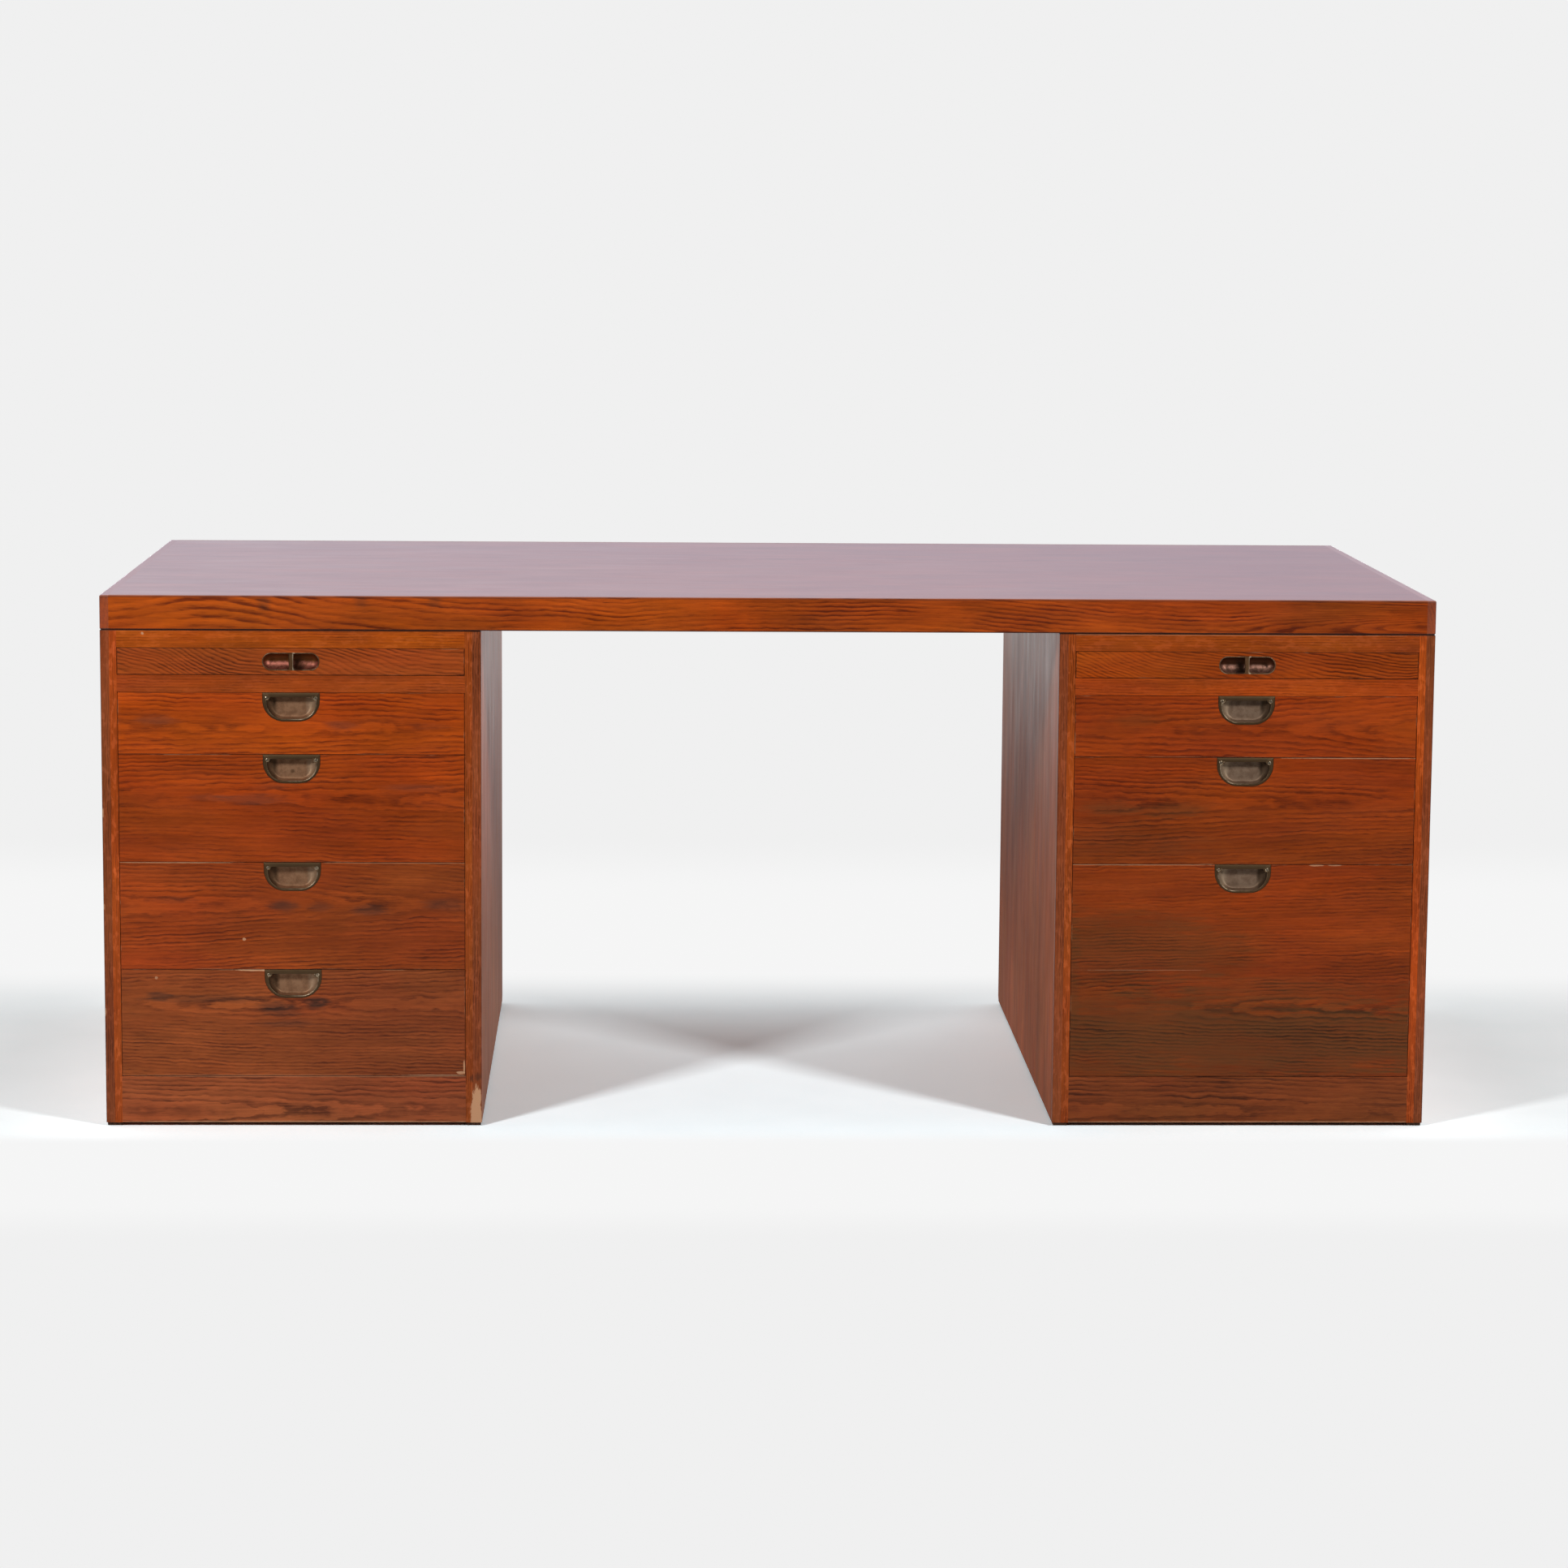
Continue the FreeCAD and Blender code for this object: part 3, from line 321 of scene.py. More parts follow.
# each board adds a seed and heart, where the heart of its log lies across the grain
oakBase = {
    "grain": "x",            # the way the grain runs
    "taper": 0.02,
    "ring": 0.0062,          # from one ring to the next
    "sway": 0.022,
    "swayRate": (3.2, 9.0),
    "ripple": 0.0052,
    "wave": 0.0034,
    "jag": 0.003,
    "local": (0.3, 1.3),     # how much the lines fade along the board
    "broken": (0.6, 1.25),
    "fibre": 0.16,
    "bow": None,             # (middle, amount): the lines turn along the board
    "spread": None,          # (from, to, ring there, ring there)
    "swells": [],            # (x, z, half width, half height, lift) where the rings bulge
    "folded": False,         # front and back boards share one pattern
    "ringTone": 0.22,
    "light": (0.37, 0.072, 0.009),
    "dark": (0.115, 0.021, 0.004),
    "lines": 1.0,
    "patchy": 0.24,
    "pores": 0.6,
    "stainColour": (0.035, 0.014, 0.007),
    "stains": [],            # spots: (x, z, half width, half height, strength)
    "pale": [],              # spots of bare wood on the fronts; on the case tops also a painted highlight along the front edge
    "paleColour": (0.45, 0.24, 0.13),
    "paleDepth": 0.003,      # how far behind the fronts the bare spots reach
    "redness": (0.91, 1.11),
    "edge": None,            # (low, high) corners of a face in X and Z whose edges darken and wear: grime on the fronts, painted shade on the desk's rounded ends
    "edgeWear": 0.0,
    "grimeAndShade": 0.25,
    "grimeAndShadeReach": 0.0014,
    "rubReach": (0.0012, 0.0003),
    "darkLines": [],             # (z, half height, strength) of dark lines painted across a face, such as the shadow in the groove under the desktop
    "topLook": None,         # (light, dark) of the face that looks up
    "flecks": 0.0,
    "roughness": 0.36,
    "lineRough": 0.0,        # added roughness on the dark lines
    "gloss": 0.15,
    "tints": [],             # (axis, from, to, colour there, and there) that multiply the wood's colour
    "roughTurn": None,       # (axis, from, to, added roughness there, and there)
    "sheen": 0.0,
    "sheenTint": (0.88, 0.79, 0.98),
    "sheenRough": 0.3,
    "bump": 0.35,
    "bumpDepth": 0.00012,
}
# darkened edges: grime on the fronts, painted shade on the desk's rounded ends
grimeAndShadeColour = (0.035, 0.014, 0.007)
# colour of the dark lines, such as the painted shadow under the desktop
darkLineColour = (0.02, 0.008, 0.005)
topHeights = (0.7225, 0.7249)    # between which the desktop's face begins


def grainNoise(tree, along, look, kind):
    lengthwise, across, shift, detail, rough = grainNoises[kind]
    return noise(tree, along, (lengthwise, across, across), look["seed"] + shift, detail, rough)


def offsets(tree, axes, x, z, wide, high):
    # how far a point of a face lies from (x, z), in half widths and half heights
    return [calc(tree, "DIVIDE", calc(tree, "SUBTRACT", axes[axis], middle), half)
            for axis, middle, half in (("X", x, wide), ("Z", z, high))]


def spots(tree, axes, places, wobble, fade=(1.25, 0.35)):
    # patches on a face, each (x, z, half width, half height, strength)
    total = None
    for *place, strength in places:
        reach = calc(tree, "ADD", distance(tree, *offsets(tree, axes, *place)), wobble)
        patch = smooth(tree, reach, *fade, 0.0, strength)
        total = patch if total is None else calc(tree, "ADD", total, patch)
    return calc(tree, "MINIMUM", total, 1.0)


def ringField(tree, axes, look):
    # distance from the heart of the log, bent by noise: its level lines are the growth rings
    u, v, w = (axes[axis] for axis in {"x": "XZY", "z": "ZXY", "y": "YXZ"}[look["grain"]])
    if look["folded"]:
        w = times(tree, calc(tree, "ABSOLUTE", w), -1.0)
    along = combine(tree, u, v, w)
    swayU, swayV = look["swayRate"]
    heartV, heartW = look["heart"]
    radius = distance(tree, calc(tree, "SUBTRACT", v, heartV), calc(tree, "SUBTRACT", w, heartW))
    field = calc(tree, "MULTIPLY_ADD", u, look["taper"], radius)
    bends = [(noise(tree, along, (swayU, swayV, swayV), look["seed"], 1.5), look["sway"])]
    bends += [(grainNoise(tree, along, look, kind), look[kind]) for kind in ("ripple", "wave", "jag")]
    for bend, amount in bends:
        field = calc(tree, "MULTIPLY_ADD", calc(tree, "SUBTRACT", bend, 0.5), amount, field)
    if look["bow"]:
        middle, amount = look["bow"]
        away = calc(tree, "SUBTRACT", u, middle)
        field = calc(tree, "MULTIPLY_ADD", times(tree, away, away), amount, field)
    for *place, lift in look["swells"]:
        squares = [times(tree, away, away) for away in offsets(tree, axes, *place)]
        bulge = calc(tree, "EXPONENT", times(tree, calc(tree, "ADD", *squares), -1.0))
        field = calc(tree, "MULTIPLY_ADD", bulge, lift, field)
    ring = straight(tree, u, *look["spread"]) if look["spread"] else look["ring"]
    return along, calc(tree, "DIVIDE", field, ring)


def ringLines(tree, rings, along, look):
    # each ring has a dark porous line and clears towards the next one; no two are alike
    share = calc(tree, "FRACT", rings)
    number = calc(tree, "ADD", calc(tree, "FLOOR", rings), look["seed"])
    chance = put(tree, "ShaderNodeTexWhiteNoise", {"W": number}, noise_dimensions="1D").outputs["Value"]
    ramp = put(tree, "ShaderNodeValToRGB", {"Fac": share})
    stops = ramp.color_ramp.elements
    for place, tone in ringRamp:
        stops.new(place).color = (tone, tone, tone, 1)
    stops[0].color = ringEnds
    stops[-1].color = ringEnds
    ramp.color_ramp.interpolation = "EASE"
    local = straight(tree, grainNoise(tree, along, look, "local"), 0.35, 0.65, *look["local"])
    broken = straight(tree, grainNoise(tree, along, look, "broken"), 0.34, 0.64, *look["broken"])
    strength = calc(tree, "MULTIPLY_ADD", chance, 0.6, 0.5)
    strength = times(tree, strength, times(tree, local, broken))
    return times(tree, ramp.outputs[0], strength), calc(tree, "SUBTRACT", chance, 0.5)


def edgeReach(tree, axes, low, high):
    # how far a point lies from the nearest edge of a face from low to high in X and Z
    reach = None
    for axis, a, b in (("X", low[0], high[0]), ("Z", low[1], high[1])):
        for value in (calc(tree, "SUBTRACT", axes[axis], a), calc(tree, "SUBTRACT", b, axes[axis])):
            reach = value if reach is None else calc(tree, "MINIMUM", reach, value)
    return reach


def oak(name, **changes):
    look = {**oakBase, **changes}
    material, tree, shader, place = newMaterial(name)
    axes = split(tree, place)
    along, rings = ringField(tree, axes, look)
    lines, ringTone = ringLines(tree, rings, along, look)

    def grain(kind):
        return grainNoise(tree, along, look, kind)

    pores = smooth(tree, grain("pores"), 0.53, 0.66)
    pores = times(tree, pores, calc(tree, "MULTIPLY_ADD", lines, 0.9, 0.3, clamp=True))
    dark = calc(tree, "MULTIPLY", lines, look["lines"], clamp=True)
    colour = blendColour(tree, dark, look["light"], look["dark"])
    colour = scaled(tree, colour, calc(tree, "MULTIPLY_ADD", ringTone, look["ringTone"], 1.0))
    if look["flecks"]:
        brighter = [min(1.0, c * 1.45 + 0.014) for c in look["light"]]
        colour = blendColour(tree, smooth(tree, grain("flecks"), 0.5, 0.64, 0.0, look["flecks"]), colour, brighter)
    poreColour = [c * 0.45 for c in look["dark"]]
    colour = blendColour(tree, times(tree, pores, look["pores"]), colour, poreColour)
    # the stain took unevenly: quick and slow changes of depth, and slow ones of redness
    colour = scaled(tree, colour, straight(tree, grain("fibre"), 0.3, 0.7, 1 - look["fibre"], 1 + look["fibre"]))
    colour = scaled(tree, colour, straight(tree, grain("patchy"), 0.3, 0.7, 1 + look["patchy"], 1 - look["patchy"]))
    redness = straight(tree, grain("redness"), 0.33, 0.67, *look["redness"])
    colour = blendColour(tree, 1.0, colour, combine(tree, 1.0, redness, redness), "MULTIPLY")
    for axis, start, stop, first, last in look["tints"]:
        tint = blendColour(tree, smooth(tree, axes[axis], start, stop), first, last)
        colour = blendColour(tree, 1.0, colour, tint, "MULTIPLY")
    if look["stains"]:
        wobble = times(tree, calc(tree, "SUBTRACT", grain("streaks"), 0.5), 2.2)
        stain = spots(tree, axes, look["stains"], wobble)
        stain = times(tree, stain, calc(tree, "MULTIPLY_ADD", lines, 0.5, 0.65, clamp=True))
        patch = straight(tree, grain("stains"), 0.35, 0.65, 0.72, 1.2)
        stain = calc(tree, "MULTIPLY", stain, patch, clamp=True)
        # the rings still show in the stain
        stained = blendColour(tree, dark, *([c * tone for c in look["stainColour"]] for tone in (1.3, 0.42)))
        colour = blendColour(tree, stain, colour, stained)
    rough = straight(tree, grain("roughness"), 0.3, 0.7, look["roughness"] - 0.06, look["roughness"] + 0.08)
    if look["lineRough"]:
        rough = calc(tree, "MULTIPLY_ADD", dark, look["lineRough"], rough)
    if look["roughTurn"]:
        axis, *turn = look["roughTurn"]
        rough = calc(tree, "ADD", rough, straight(tree, axes[axis], *turn))
    # dark edges: grime on the drawer fronts, painted shade on the desk's rounded ends
    if look["edge"]:
        reach = edgeReach(tree, axes, *look["edge"])
        grimeAndShade = smooth(tree, reach, look["grimeAndShadeReach"], 0.0, 0.0, look["grimeAndShade"])
        colour = blendColour(tree, grimeAndShade, colour, grimeAndShadeColour)
        if look["edgeWear"]:
            worn = smooth(tree, grain("edgeWear"), 0.54, 0.64, 0.0, look["edgeWear"])
            rub = times(tree, smooth(tree, reach, *look["rubReach"]), worn)
            colour = blendColour(tree, rub, colour, look["paleColour"])
            rough = calc(tree, "MULTIPLY_ADD", rub, 0.25, rough)
    # painted dark lines, such as the shadow in the groove under the desktop
    for z, half, strength in look["darkLines"]:
        away = calc(tree, "ABSOLUTE", calc(tree, "SUBTRACT", axes["Z"], z))
        colour = blendColour(tree, smooth(tree, away, half, half * 0.5, 0.0, strength), colour, darkLineColour)
    if look["topLook"]:
        topColour = blendColour(tree, dark, *look["topLook"])
        colour = blendColour(tree, smooth(tree, axes["Z"], *topHeights), colour, topColour)
    # bare wood, and on the case tops a painted highlight along the front edge
    if look["pale"]:
        wobble = times(tree, calc(tree, "SUBTRACT", grain("chips"), 0.5), 1.3)
        bare = spots(tree, axes, look["pale"], wobble, fade=(1.1, 0.8))
        depth = look["paleDepth"]
        bare = times(tree, bare, smooth(tree, axes["Y"], frontY + depth, frontY + depth / 2))
        colour = blendColour(tree, bare, colour, look["paleColour"])
        rough = calc(tree, "MULTIPLY_ADD", bare, 0.3, rough)
    if look["sheen"]:
        fill(tree, shader, {"Sheen Weight": look["sheen"], "Sheen Roughness": look["sheenRough"],
                            "Sheen Tint": look["sheenTint"]})
    height = calc(tree, "MULTIPLY_ADD", pores, -0.5, times(tree, lines, -0.4))
    height = calc(tree, "MULTIPLY_ADD", grain("bump"), 0.6, height)
    fill(tree, shader, {"Base Color": colour, "Roughness": rough, "Specular IOR Level": look["gloss"],
                        "Normal": relief(tree, height, look)})
    return material


def dress(node, material):
    mesh = nodes[node].data
    mesh.materials.clear()
    mesh.materials.append(material)


# The boards of the desk
# heart gives the height of the flame pattern, and where the heart of the log lies along Y
flameY = frontY + 0.017
leafGrain = {
    "ripple": 0.007, "wave": 0.003, "jag": 0.0018, "local": (0.4, 1.3), "broken": (0.7, 1.2), "patchy": 0.16,
}
frontLooks = {
    "left_leaf_front": {
        **leafGrain, "heart": (0.43, frontY - 0.05), "taper": 0.3, "bow": (-0.65, -0.3), "ring": 0.0052,
        "sway": 0.05, "swayRate": (7.0, 12.0), "seed": 2.1,
        "light": (0.305, 0.057, 0.0082), "dark": (0.088, 0.017, 0.0032),
    },
    "right_leaf_front": {
        **leafGrain, "heart": (0.46, frontY - 0.05), "taper": 0.2, "bow": (0.65, -0.4), "ring": 0.0048,
        "sway": 0.04, "swayRate": (6.0, 12.0), "seed": 7.4,
        "light": (0.29, 0.0458, 0.0023), "dark": (0.088, 0.013, 0.0011),
    },
    "left_drawer_1_front": {
        "tints": [("X", -0.85, -0.45, (1.06, 1.07, 0.98), (0.98, 0.92, 0.8))],
        "heart": (0.548, flameY), "taper": 0.03, "seed": 11.3, "ring": 0.0053,
        "light": (0.362, 0.055, 0.0025), "dark": (0.146, 0.02, 0.002), "lines": 0.85,
        "stainColour": (0.085, 0.028, 0.016),
        "stains": [(-0.825, 0.556, 0.032, 0.008, 0.55), (-0.58, 0.549, 0.026, 0.008, 0.5),
                   (-0.46, 0.55, 0.03, 0.006, 0.3)],
    },
    "left_drawer_2_front": {
        "tints": [("Z", 0.5, 0.38, (1.14, 1.1, 0.85), (0.89, 0.9, 1.12))],
        "heart": (0.452, flameY), "taper": -0.03, "seed": 15.2, "ring": 0.0055,
        "light": (0.287, 0.041, 0.0025), "dark": (0.112, 0.015, 0.002), "lines": 0.85,
        "stainColour": (0.085, 0.028, 0.016),
        "stains": [(-0.7, 0.449, 0.055, 0.008, 0.6), (-0.665, 0.468, 0.03, 0.007, 0.4),
                   (-0.475, 0.466, 0.05, 0.006, 0.45), (-0.76, 0.452, 0.03, 0.006, 0.4)],
    },
    "left_drawer_3_front": {
        "tints": [("X", -0.85, -0.45, (1.08, 1.1, 0.96), (0.85, 0.98, 1.04))],
        "heart": (0.306, flameY), "taper": 0.035, "seed": 18.7, "ring": 0.0051,
        "light": (0.262, 0.04, 0.005), "dark": (0.1, 0.0155, 0.0035), "lines": 0.8,
        "stainColour": (0.042, 0.019, 0.012),
        "stains": [(-0.655, 0.304, 0.022, 0.01, 0.7), (-0.61, 0.303, 0.02, 0.008, 0.5),
                   (-0.542, 0.299, 0.026, 0.008, 0.75), (-0.44, 0.306, 0.035, 0.01, 0.6),
                   (-0.8, 0.312, 0.04, 0.005, 0.35)],
        "pale": [(-0.711, 0.258, 0.0022, 0.002, 0.8), (-0.81, 0.363, 0.09, 0.0008, 0.6),
                 (-0.5, 0.363, 0.11, 0.0006, 0.4)],
    },
    "left_drawer_4_front": {
        "tints": [("X", -0.85, -0.45, (1.16, 1.1, 1.03), (0.92, 0.86, 0.88))],
        "heart": (0.168, flameY), "taper": -0.03, "seed": 23.9, "ring": 0.0048,
        "light": (0.239, 0.054, 0.012), "dark": (0.097, 0.021, 0.006), "lines": 0.85,
        "stainColour": (0.026, 0.016, 0.011),
        "stains": [(-0.828, 0.18, 0.017, 0.007, 0.9), (-0.668, 0.163, 0.035, 0.011, 0.85),
                   (-0.614, 0.17, 0.017, 0.01, 0.95), (-0.76, 0.176, 0.09, 0.006, 0.45),
                   (-0.655, 0.142, 0.05, 0.005, 0.45)],
        "pale": [(-0.83, 0.205, 0.002, 0.002, 0.6), (-0.45, 0.0706, 0.045, 0.0008, 0.8),
                 (-0.4185, 0.0742, 0.0062, 0.0022, 0.8), (-0.697, 0.2158, 0.03, 0.0014, 1.0),
                 (-0.414, 0.082, 0.0012, 0.01, 0.8), (-0.7, 0.0703, 0.2, 0.0012, 0.22)],
    },
    "right_drawer_1_front": {
        "tints": [("X", 0.45, 0.85, (0.97, 0.95, 0.92), (1.08, 1.07, 1.03))],
        "heart": (0.55, flameY), "taper": -0.035, "seed": 29.5, "ring": 0.0053,
        "light": (0.245, 0.034, 0.0022), "dark": (0.118, 0.0158, 0.0018), "lines": 0.8,
        "stainColour": (0.1, 0.03, 0.006),
        "stains": [(0.5, 0.56, 0.04, 0.009, 0.35)],
    },
    "right_drawer_2_front": {
        "tints": [("Z", 0.5, 0.38, (1.2, 1.08, 0.88), (0.89, 0.92, 0.9))],
        "heart": (0.446, flameY), "taper": 0.03, "seed": 33.8, "ring": 0.005,
        "light": (0.218, 0.033, 0.0025), "dark": (0.1, 0.0145, 0.002), "lines": 0.8,
        "stainColour": (0.085, 0.03, 0.008),
        "stains": [(0.46, 0.441, 0.05, 0.011, 0.6), (0.55, 0.44, 0.06, 0.012, 0.6), (0.5, 0.395, 0.12, 0.03, 0.35)],
        "pale": [(0.796, 0.51, 0.1, 0.0008, 0.55)],
    },
    "right_drawer_3_front": {
        "tints": [("Z", 0.34, 0.1, (1.1, 1.04, 0.9), (0.8, 0.85, 0.86)),
                  ("X", 0.45, 0.8, (0.93, 0.96, 0.98), (1.08, 1.03, 0.96))],
        "heart": (0.165, flameY), "taper": -0.025, "seed": 38.1, "ring": 0.0046,
        "light": (0.212, 0.034, 0.003), "dark": (0.092, 0.0142, 0.002), "lines": 0.8,
        "stainColour": (0.082, 0.027, 0.0062),
        "stains": [(0.5, 0.25, 0.18, 0.055, 0.75), (0.58, 0.122, 0.36, 0.066, 1.0), (0.8, 0.12, 0.14, 0.055, 0.8),
                   (0.7, 0.19, 0.22, 0.022, 0.4), (0.868, 0.13, 0.016, 0.055, 0.9), (0.416, 0.17, 0.01, 0.13, 0.55)],
        "pale": [(0.51, 0.2175, 0.085, 0.0006, 0.25), (0.5, 0.363, 0.12, 0.0007, 0.5),
                 (0.745, 0.3628, 0.01, 0.0013, 0.6), (0.772, 0.3628, 0.009, 0.0012, 0.5)],
    },
}


def dressFronts(looks):
    for node, look in looks.items():
        low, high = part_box(node)
        edges = ((low.x, low.z), (high.x, high.z))
        dress(node, oak("oak_" + node, edge=edges, edgeWear=0.35, **look))


dressFronts(frontLooks)
print("fronts done")

deskTop = ((0.29, 0.07, 0.024), (0.15, 0.032, 0.012))
underSlab = (0.679, 0.0019, 0.9)              # the shadow line under the desktop
shadedDeskEnds = ((-0.9, -1), (0.9, 2))             # painted shade: only the desk's left and right rounded edges darken
slabTint = ("X", -0.5, 0.6, (1, 1, 1), (0.76, 0.74, 0.84))
footChip = [(-0.3975, 0.012, 0.008, 0.032, 1.0), (-0.3965, 0.036, 0.0062, 0.019, 1.0)]
stripGrain = {
    "grain": "z", "sway": 0.006, "swayRate": (1.5, 12.0), "wave": 0.003, "jag": 0.001, "darkLines": [underSlab],
    "paleDepth": 0.03,
}
veneer = {"grain": "z", "light": (0.29, 0.062, 0.014), "dark": (0.12, 0.025, 0.007), "lines": 0.8}
boardLooks = {
    "desktop_core": {
        "heart": (0.78, 0.16), "ring": 0.0065, "sway": 0.05, "swayRate": (1.2, 4.0), "seed": 41.0,
        "light": deskTop[0], "dark": (0.14, 0.03, 0.011), "lines": 0.8, "patchy": 0.16, "redness": (0.94, 1.07),
        # painted shade: the desktop darkens towards the right, where it reflects a darker backdrop
        "tints": [("X", 0.2, 0.8, (1, 1, 1), (0.85, 0.8, 0.8))], "sheen": 0.92, "gloss": 0.5,
        "roughness": 0.41, "lineRough": 0.14, "roughTurn": ("X", -0.8, 0.8, -0.03, 0.26), "bump": 0.2,
    },
    "desktop_long_lippings": {
        "heart": (0.652, frontY + 0.02), "folded": True, "spread": (-0.78, -0.2, 0.0105, 0.0056),
        "swayRate": (4.0, 5.0), "seed": 47.0, "wave": 0.003, "jag": 0.0016, "local": (0.15, 1.45), "patchy": 0.36,
        "swells": [(-0.749, 0.7, 0.1, 9.0, -0.022), (0.18, 0.7, 0.3, 9.0, -0.022),
                   (0.97, 0.692, 0.22, 0.016, -0.045)],
        "light": (0.345, 0.057, 0.0032), "dark": (0.118, 0.016, 0.002), "lines": 0.95,
        "tints": [slabTint], "topLook": deskTop, "darkLines": [underSlab, (0.7234, 0.0011, 0.55)], "sheen": 0.5,
        "stainColour": (0.06, 0.02, 0.008),
        "stains": [(-0.68, 0.717, 0.01, 0.012, 0.6), (-0.551, 0.718, 0.012, 0.01, 0.55),
                   (-0.452, 0.719, 0.01, 0.01, 0.5)],
    },
    "desktop_end_lippings": {
        "grain": "y", "heart": (0.4, 0.6), "seed": 51.0, "ring": 0.005,
        "light": (0.285, 0.046, 0.0028), "dark": (0.13, 0.019, 0.0022), "lines": 0.45,
        "tints": [slabTint], "topLook": deskTop, "darkLines": [underSlab, (0.7234, 0.0011, 0.55)],
        "edge": shadedDeskEnds, "grimeAndShade": 0.5, "sheen": 0.92, "gloss": 0.5, "roughness": 0.45,
    },
    "case_tops": {
        "heart": (0.9, frontY), "taper": 0.0, "ring": 0.0036, "sway": 0.008, "seed": 55.0,
        "ripple": 0.002, "wave": 0.002, "jag": 0.001, "darkLines": [underSlab],
        "light": (0.344, 0.065, 0.0032), "dark": (0.188, 0.031, 0.002), "lines": 0.75, "flecks": 0.25,
        "tints": [("X", -0.5, 0.6, (1, 1, 1), (0.8, 0.73, 1.0))],
        # the long thin pale line along the front edge is a painted highlight
        "pale": [(-0.843, 0.674, 0.0022, 0.0022, 0.9), (0.36, 0.6772, 0.54, 0.0007, 0.22)],
    },
    "dividers": {
        "heart": (0.42, frontY + 0.05), "taper": 0.01, "ring": 0.0038, "sway": 0.01, "seed": 59.0,
        "ripple": 0.002, "wave": 0.003, "jag": 0.001,
        "light": (0.27, 0.046, 0.005), "dark": (0.147, 0.024, 0.003), "lines": 0.7, "flecks": 0.15,
        "tints": [("X", -0.5, 0.5, (1, 1, 1), (1.13, 1.03, 0.75))],
    },
    "front_rails": {
        "heart": (0.022, frontY + 0.022), "taper": 0.015, "ring": 0.0052, "sway": 0.011, "swayRate": (2.4, 8.0),
        "seed": 63.0, "light": (0.27, 0.065, 0.021), "dark": (0.095, 0.022, 0.008),
        "tints": [("X", -0.5, 0.6, (1, 1, 1), (0.7, 0.64, 0.42)),
                  ("X", -0.85, -0.42, (1.2, 1.16, 1.05), (0.92, 0.94, 0.92)),
                  ("Z", 0.015, 0.06, (1.1, 1.14, 1.16), (1.0, 0.92, 0.88))],
        "pale": [(-0.645, 0.0058, 0.27, 0.0016, 0.5), (0.645, 0.0058, 0.27, 0.0016, 0.4),
                 (-0.6, 0.069, 0.26, 0.001, 0.22)],
    },
    "outer_strips": {
        **stripGrain, "heart": (0.0, -0.2), "taper": 0.01, "ring": 0.003, "seed": 67.0,
        "light": (0.215, 0.047, 0.012), "dark": (0.1, 0.023, 0.007), "lines": 0.85, "flecks": 0.35,
        "edge": shadedDeskEnds, "grimeAndShade": 0.5, "stains": [(-0.395, 0.068, 0.006, 0.006, 0.8)],
        "pale": [*footChip, (-0.899, 0.431, 0.0012, 0.007, 0.7), (-0.899, 0.302, 0.0012, 0.004, 0.6),
                 (-0.899, 0.158, 0.0012, 0.006, 0.6)],
    },
    "inner_strips": {
        **stripGrain, "heart": (0.05, -0.2), "taper": 0.012, "ring": 0.0026, "seed": 71.0,
        "light": (0.292, 0.051, 0.005), "dark": (0.146, 0.0235, 0.003), "lines": 0.9, "flecks": 0.55,
        "tints": [("X", -0.88, -0.4, (1.15, 1.08, 1.0), (0.85, 0.92, 1.0)),
                  ("X", -0.1, 0.1, (1, 1, 1), (1.12, 1.04, 0.9)), ("X", 0.45, 0.85, (1, 1, 1), (1.12, 1.0, 0.75))],
        "stains": [(-0.402, 0.066, 0.006, 0.006, 0.8)],
        "pale": [*footChip, (0.396, 0.605, 0.0026, 0.004, 0.8)],
    },
    "left_case_inner_side": {
        "grain": "z", "heart": (-0.36, -0.05), "seed": 75.0,
        "light": (0.34, 0.105, 0.04), "dark": (0.2, 0.05, 0.018), "lines": 0.7, "gloss": 0.5,
        # painted reflection: the inner side grows lighter towards the top, where the pale backdrop shows in it
        "tints": [("Z", 0.15, 0.6, (0.96, 1.0, 1.0), (1.35, 1.03, 1.08))],
        "roughTurn": ("Z", 0.15, 0.62, 0.22, 0.0),
    },
    "right_case_inner_side": {
        "grain": "z", "heart": (0.36, 0.05), "taper": -0.02, "seed": 79.0,
        "light": (0.33, 0.088, 0.028), "dark": (0.19, 0.043, 0.014), "lines": 0.7, "gloss": 0.35,
        "roughTurn": ("Z", 0.15, 0.62, 0.45, 0.0),
    },
    "left_case_outer_side": {**veneer, "heart": (-0.93, 0.0), "seed": 83.0},
    "right_case_outer_side": {
        **veneer, "heart": (0.93, -0.04), "taper": -0.02, "seed": 87.0, "light": (0.29, 0.06, 0.013),
    },
    "back_panels": {**veneer, "heart": (0.645, 0.47), "seed": 91.0},
    "left_leaf_board": {"heart": (0.6, -0.1), "seed": 95.0},
    "right_leaf_board": {"heart": (0.6, -0.1), "seed": 97.0},
    "foot_strips": {
        "grain": "y", "heart": (0.6, -0.05), "seed": 99.0, "light": (0.09, 0.045, 0.026),
        "dark": (0.04, 0.02, 0.012), "roughness": 0.6,
    },
}

plainWood = {
    "light": (0.56, 0.36, 0.19), "dark": (0.4, 0.23, 0.11), "lines": 0.5, "ring": 0.0036, "roughness": 0.5,
    "pores": 0.25, "patchy": 0.08,
}
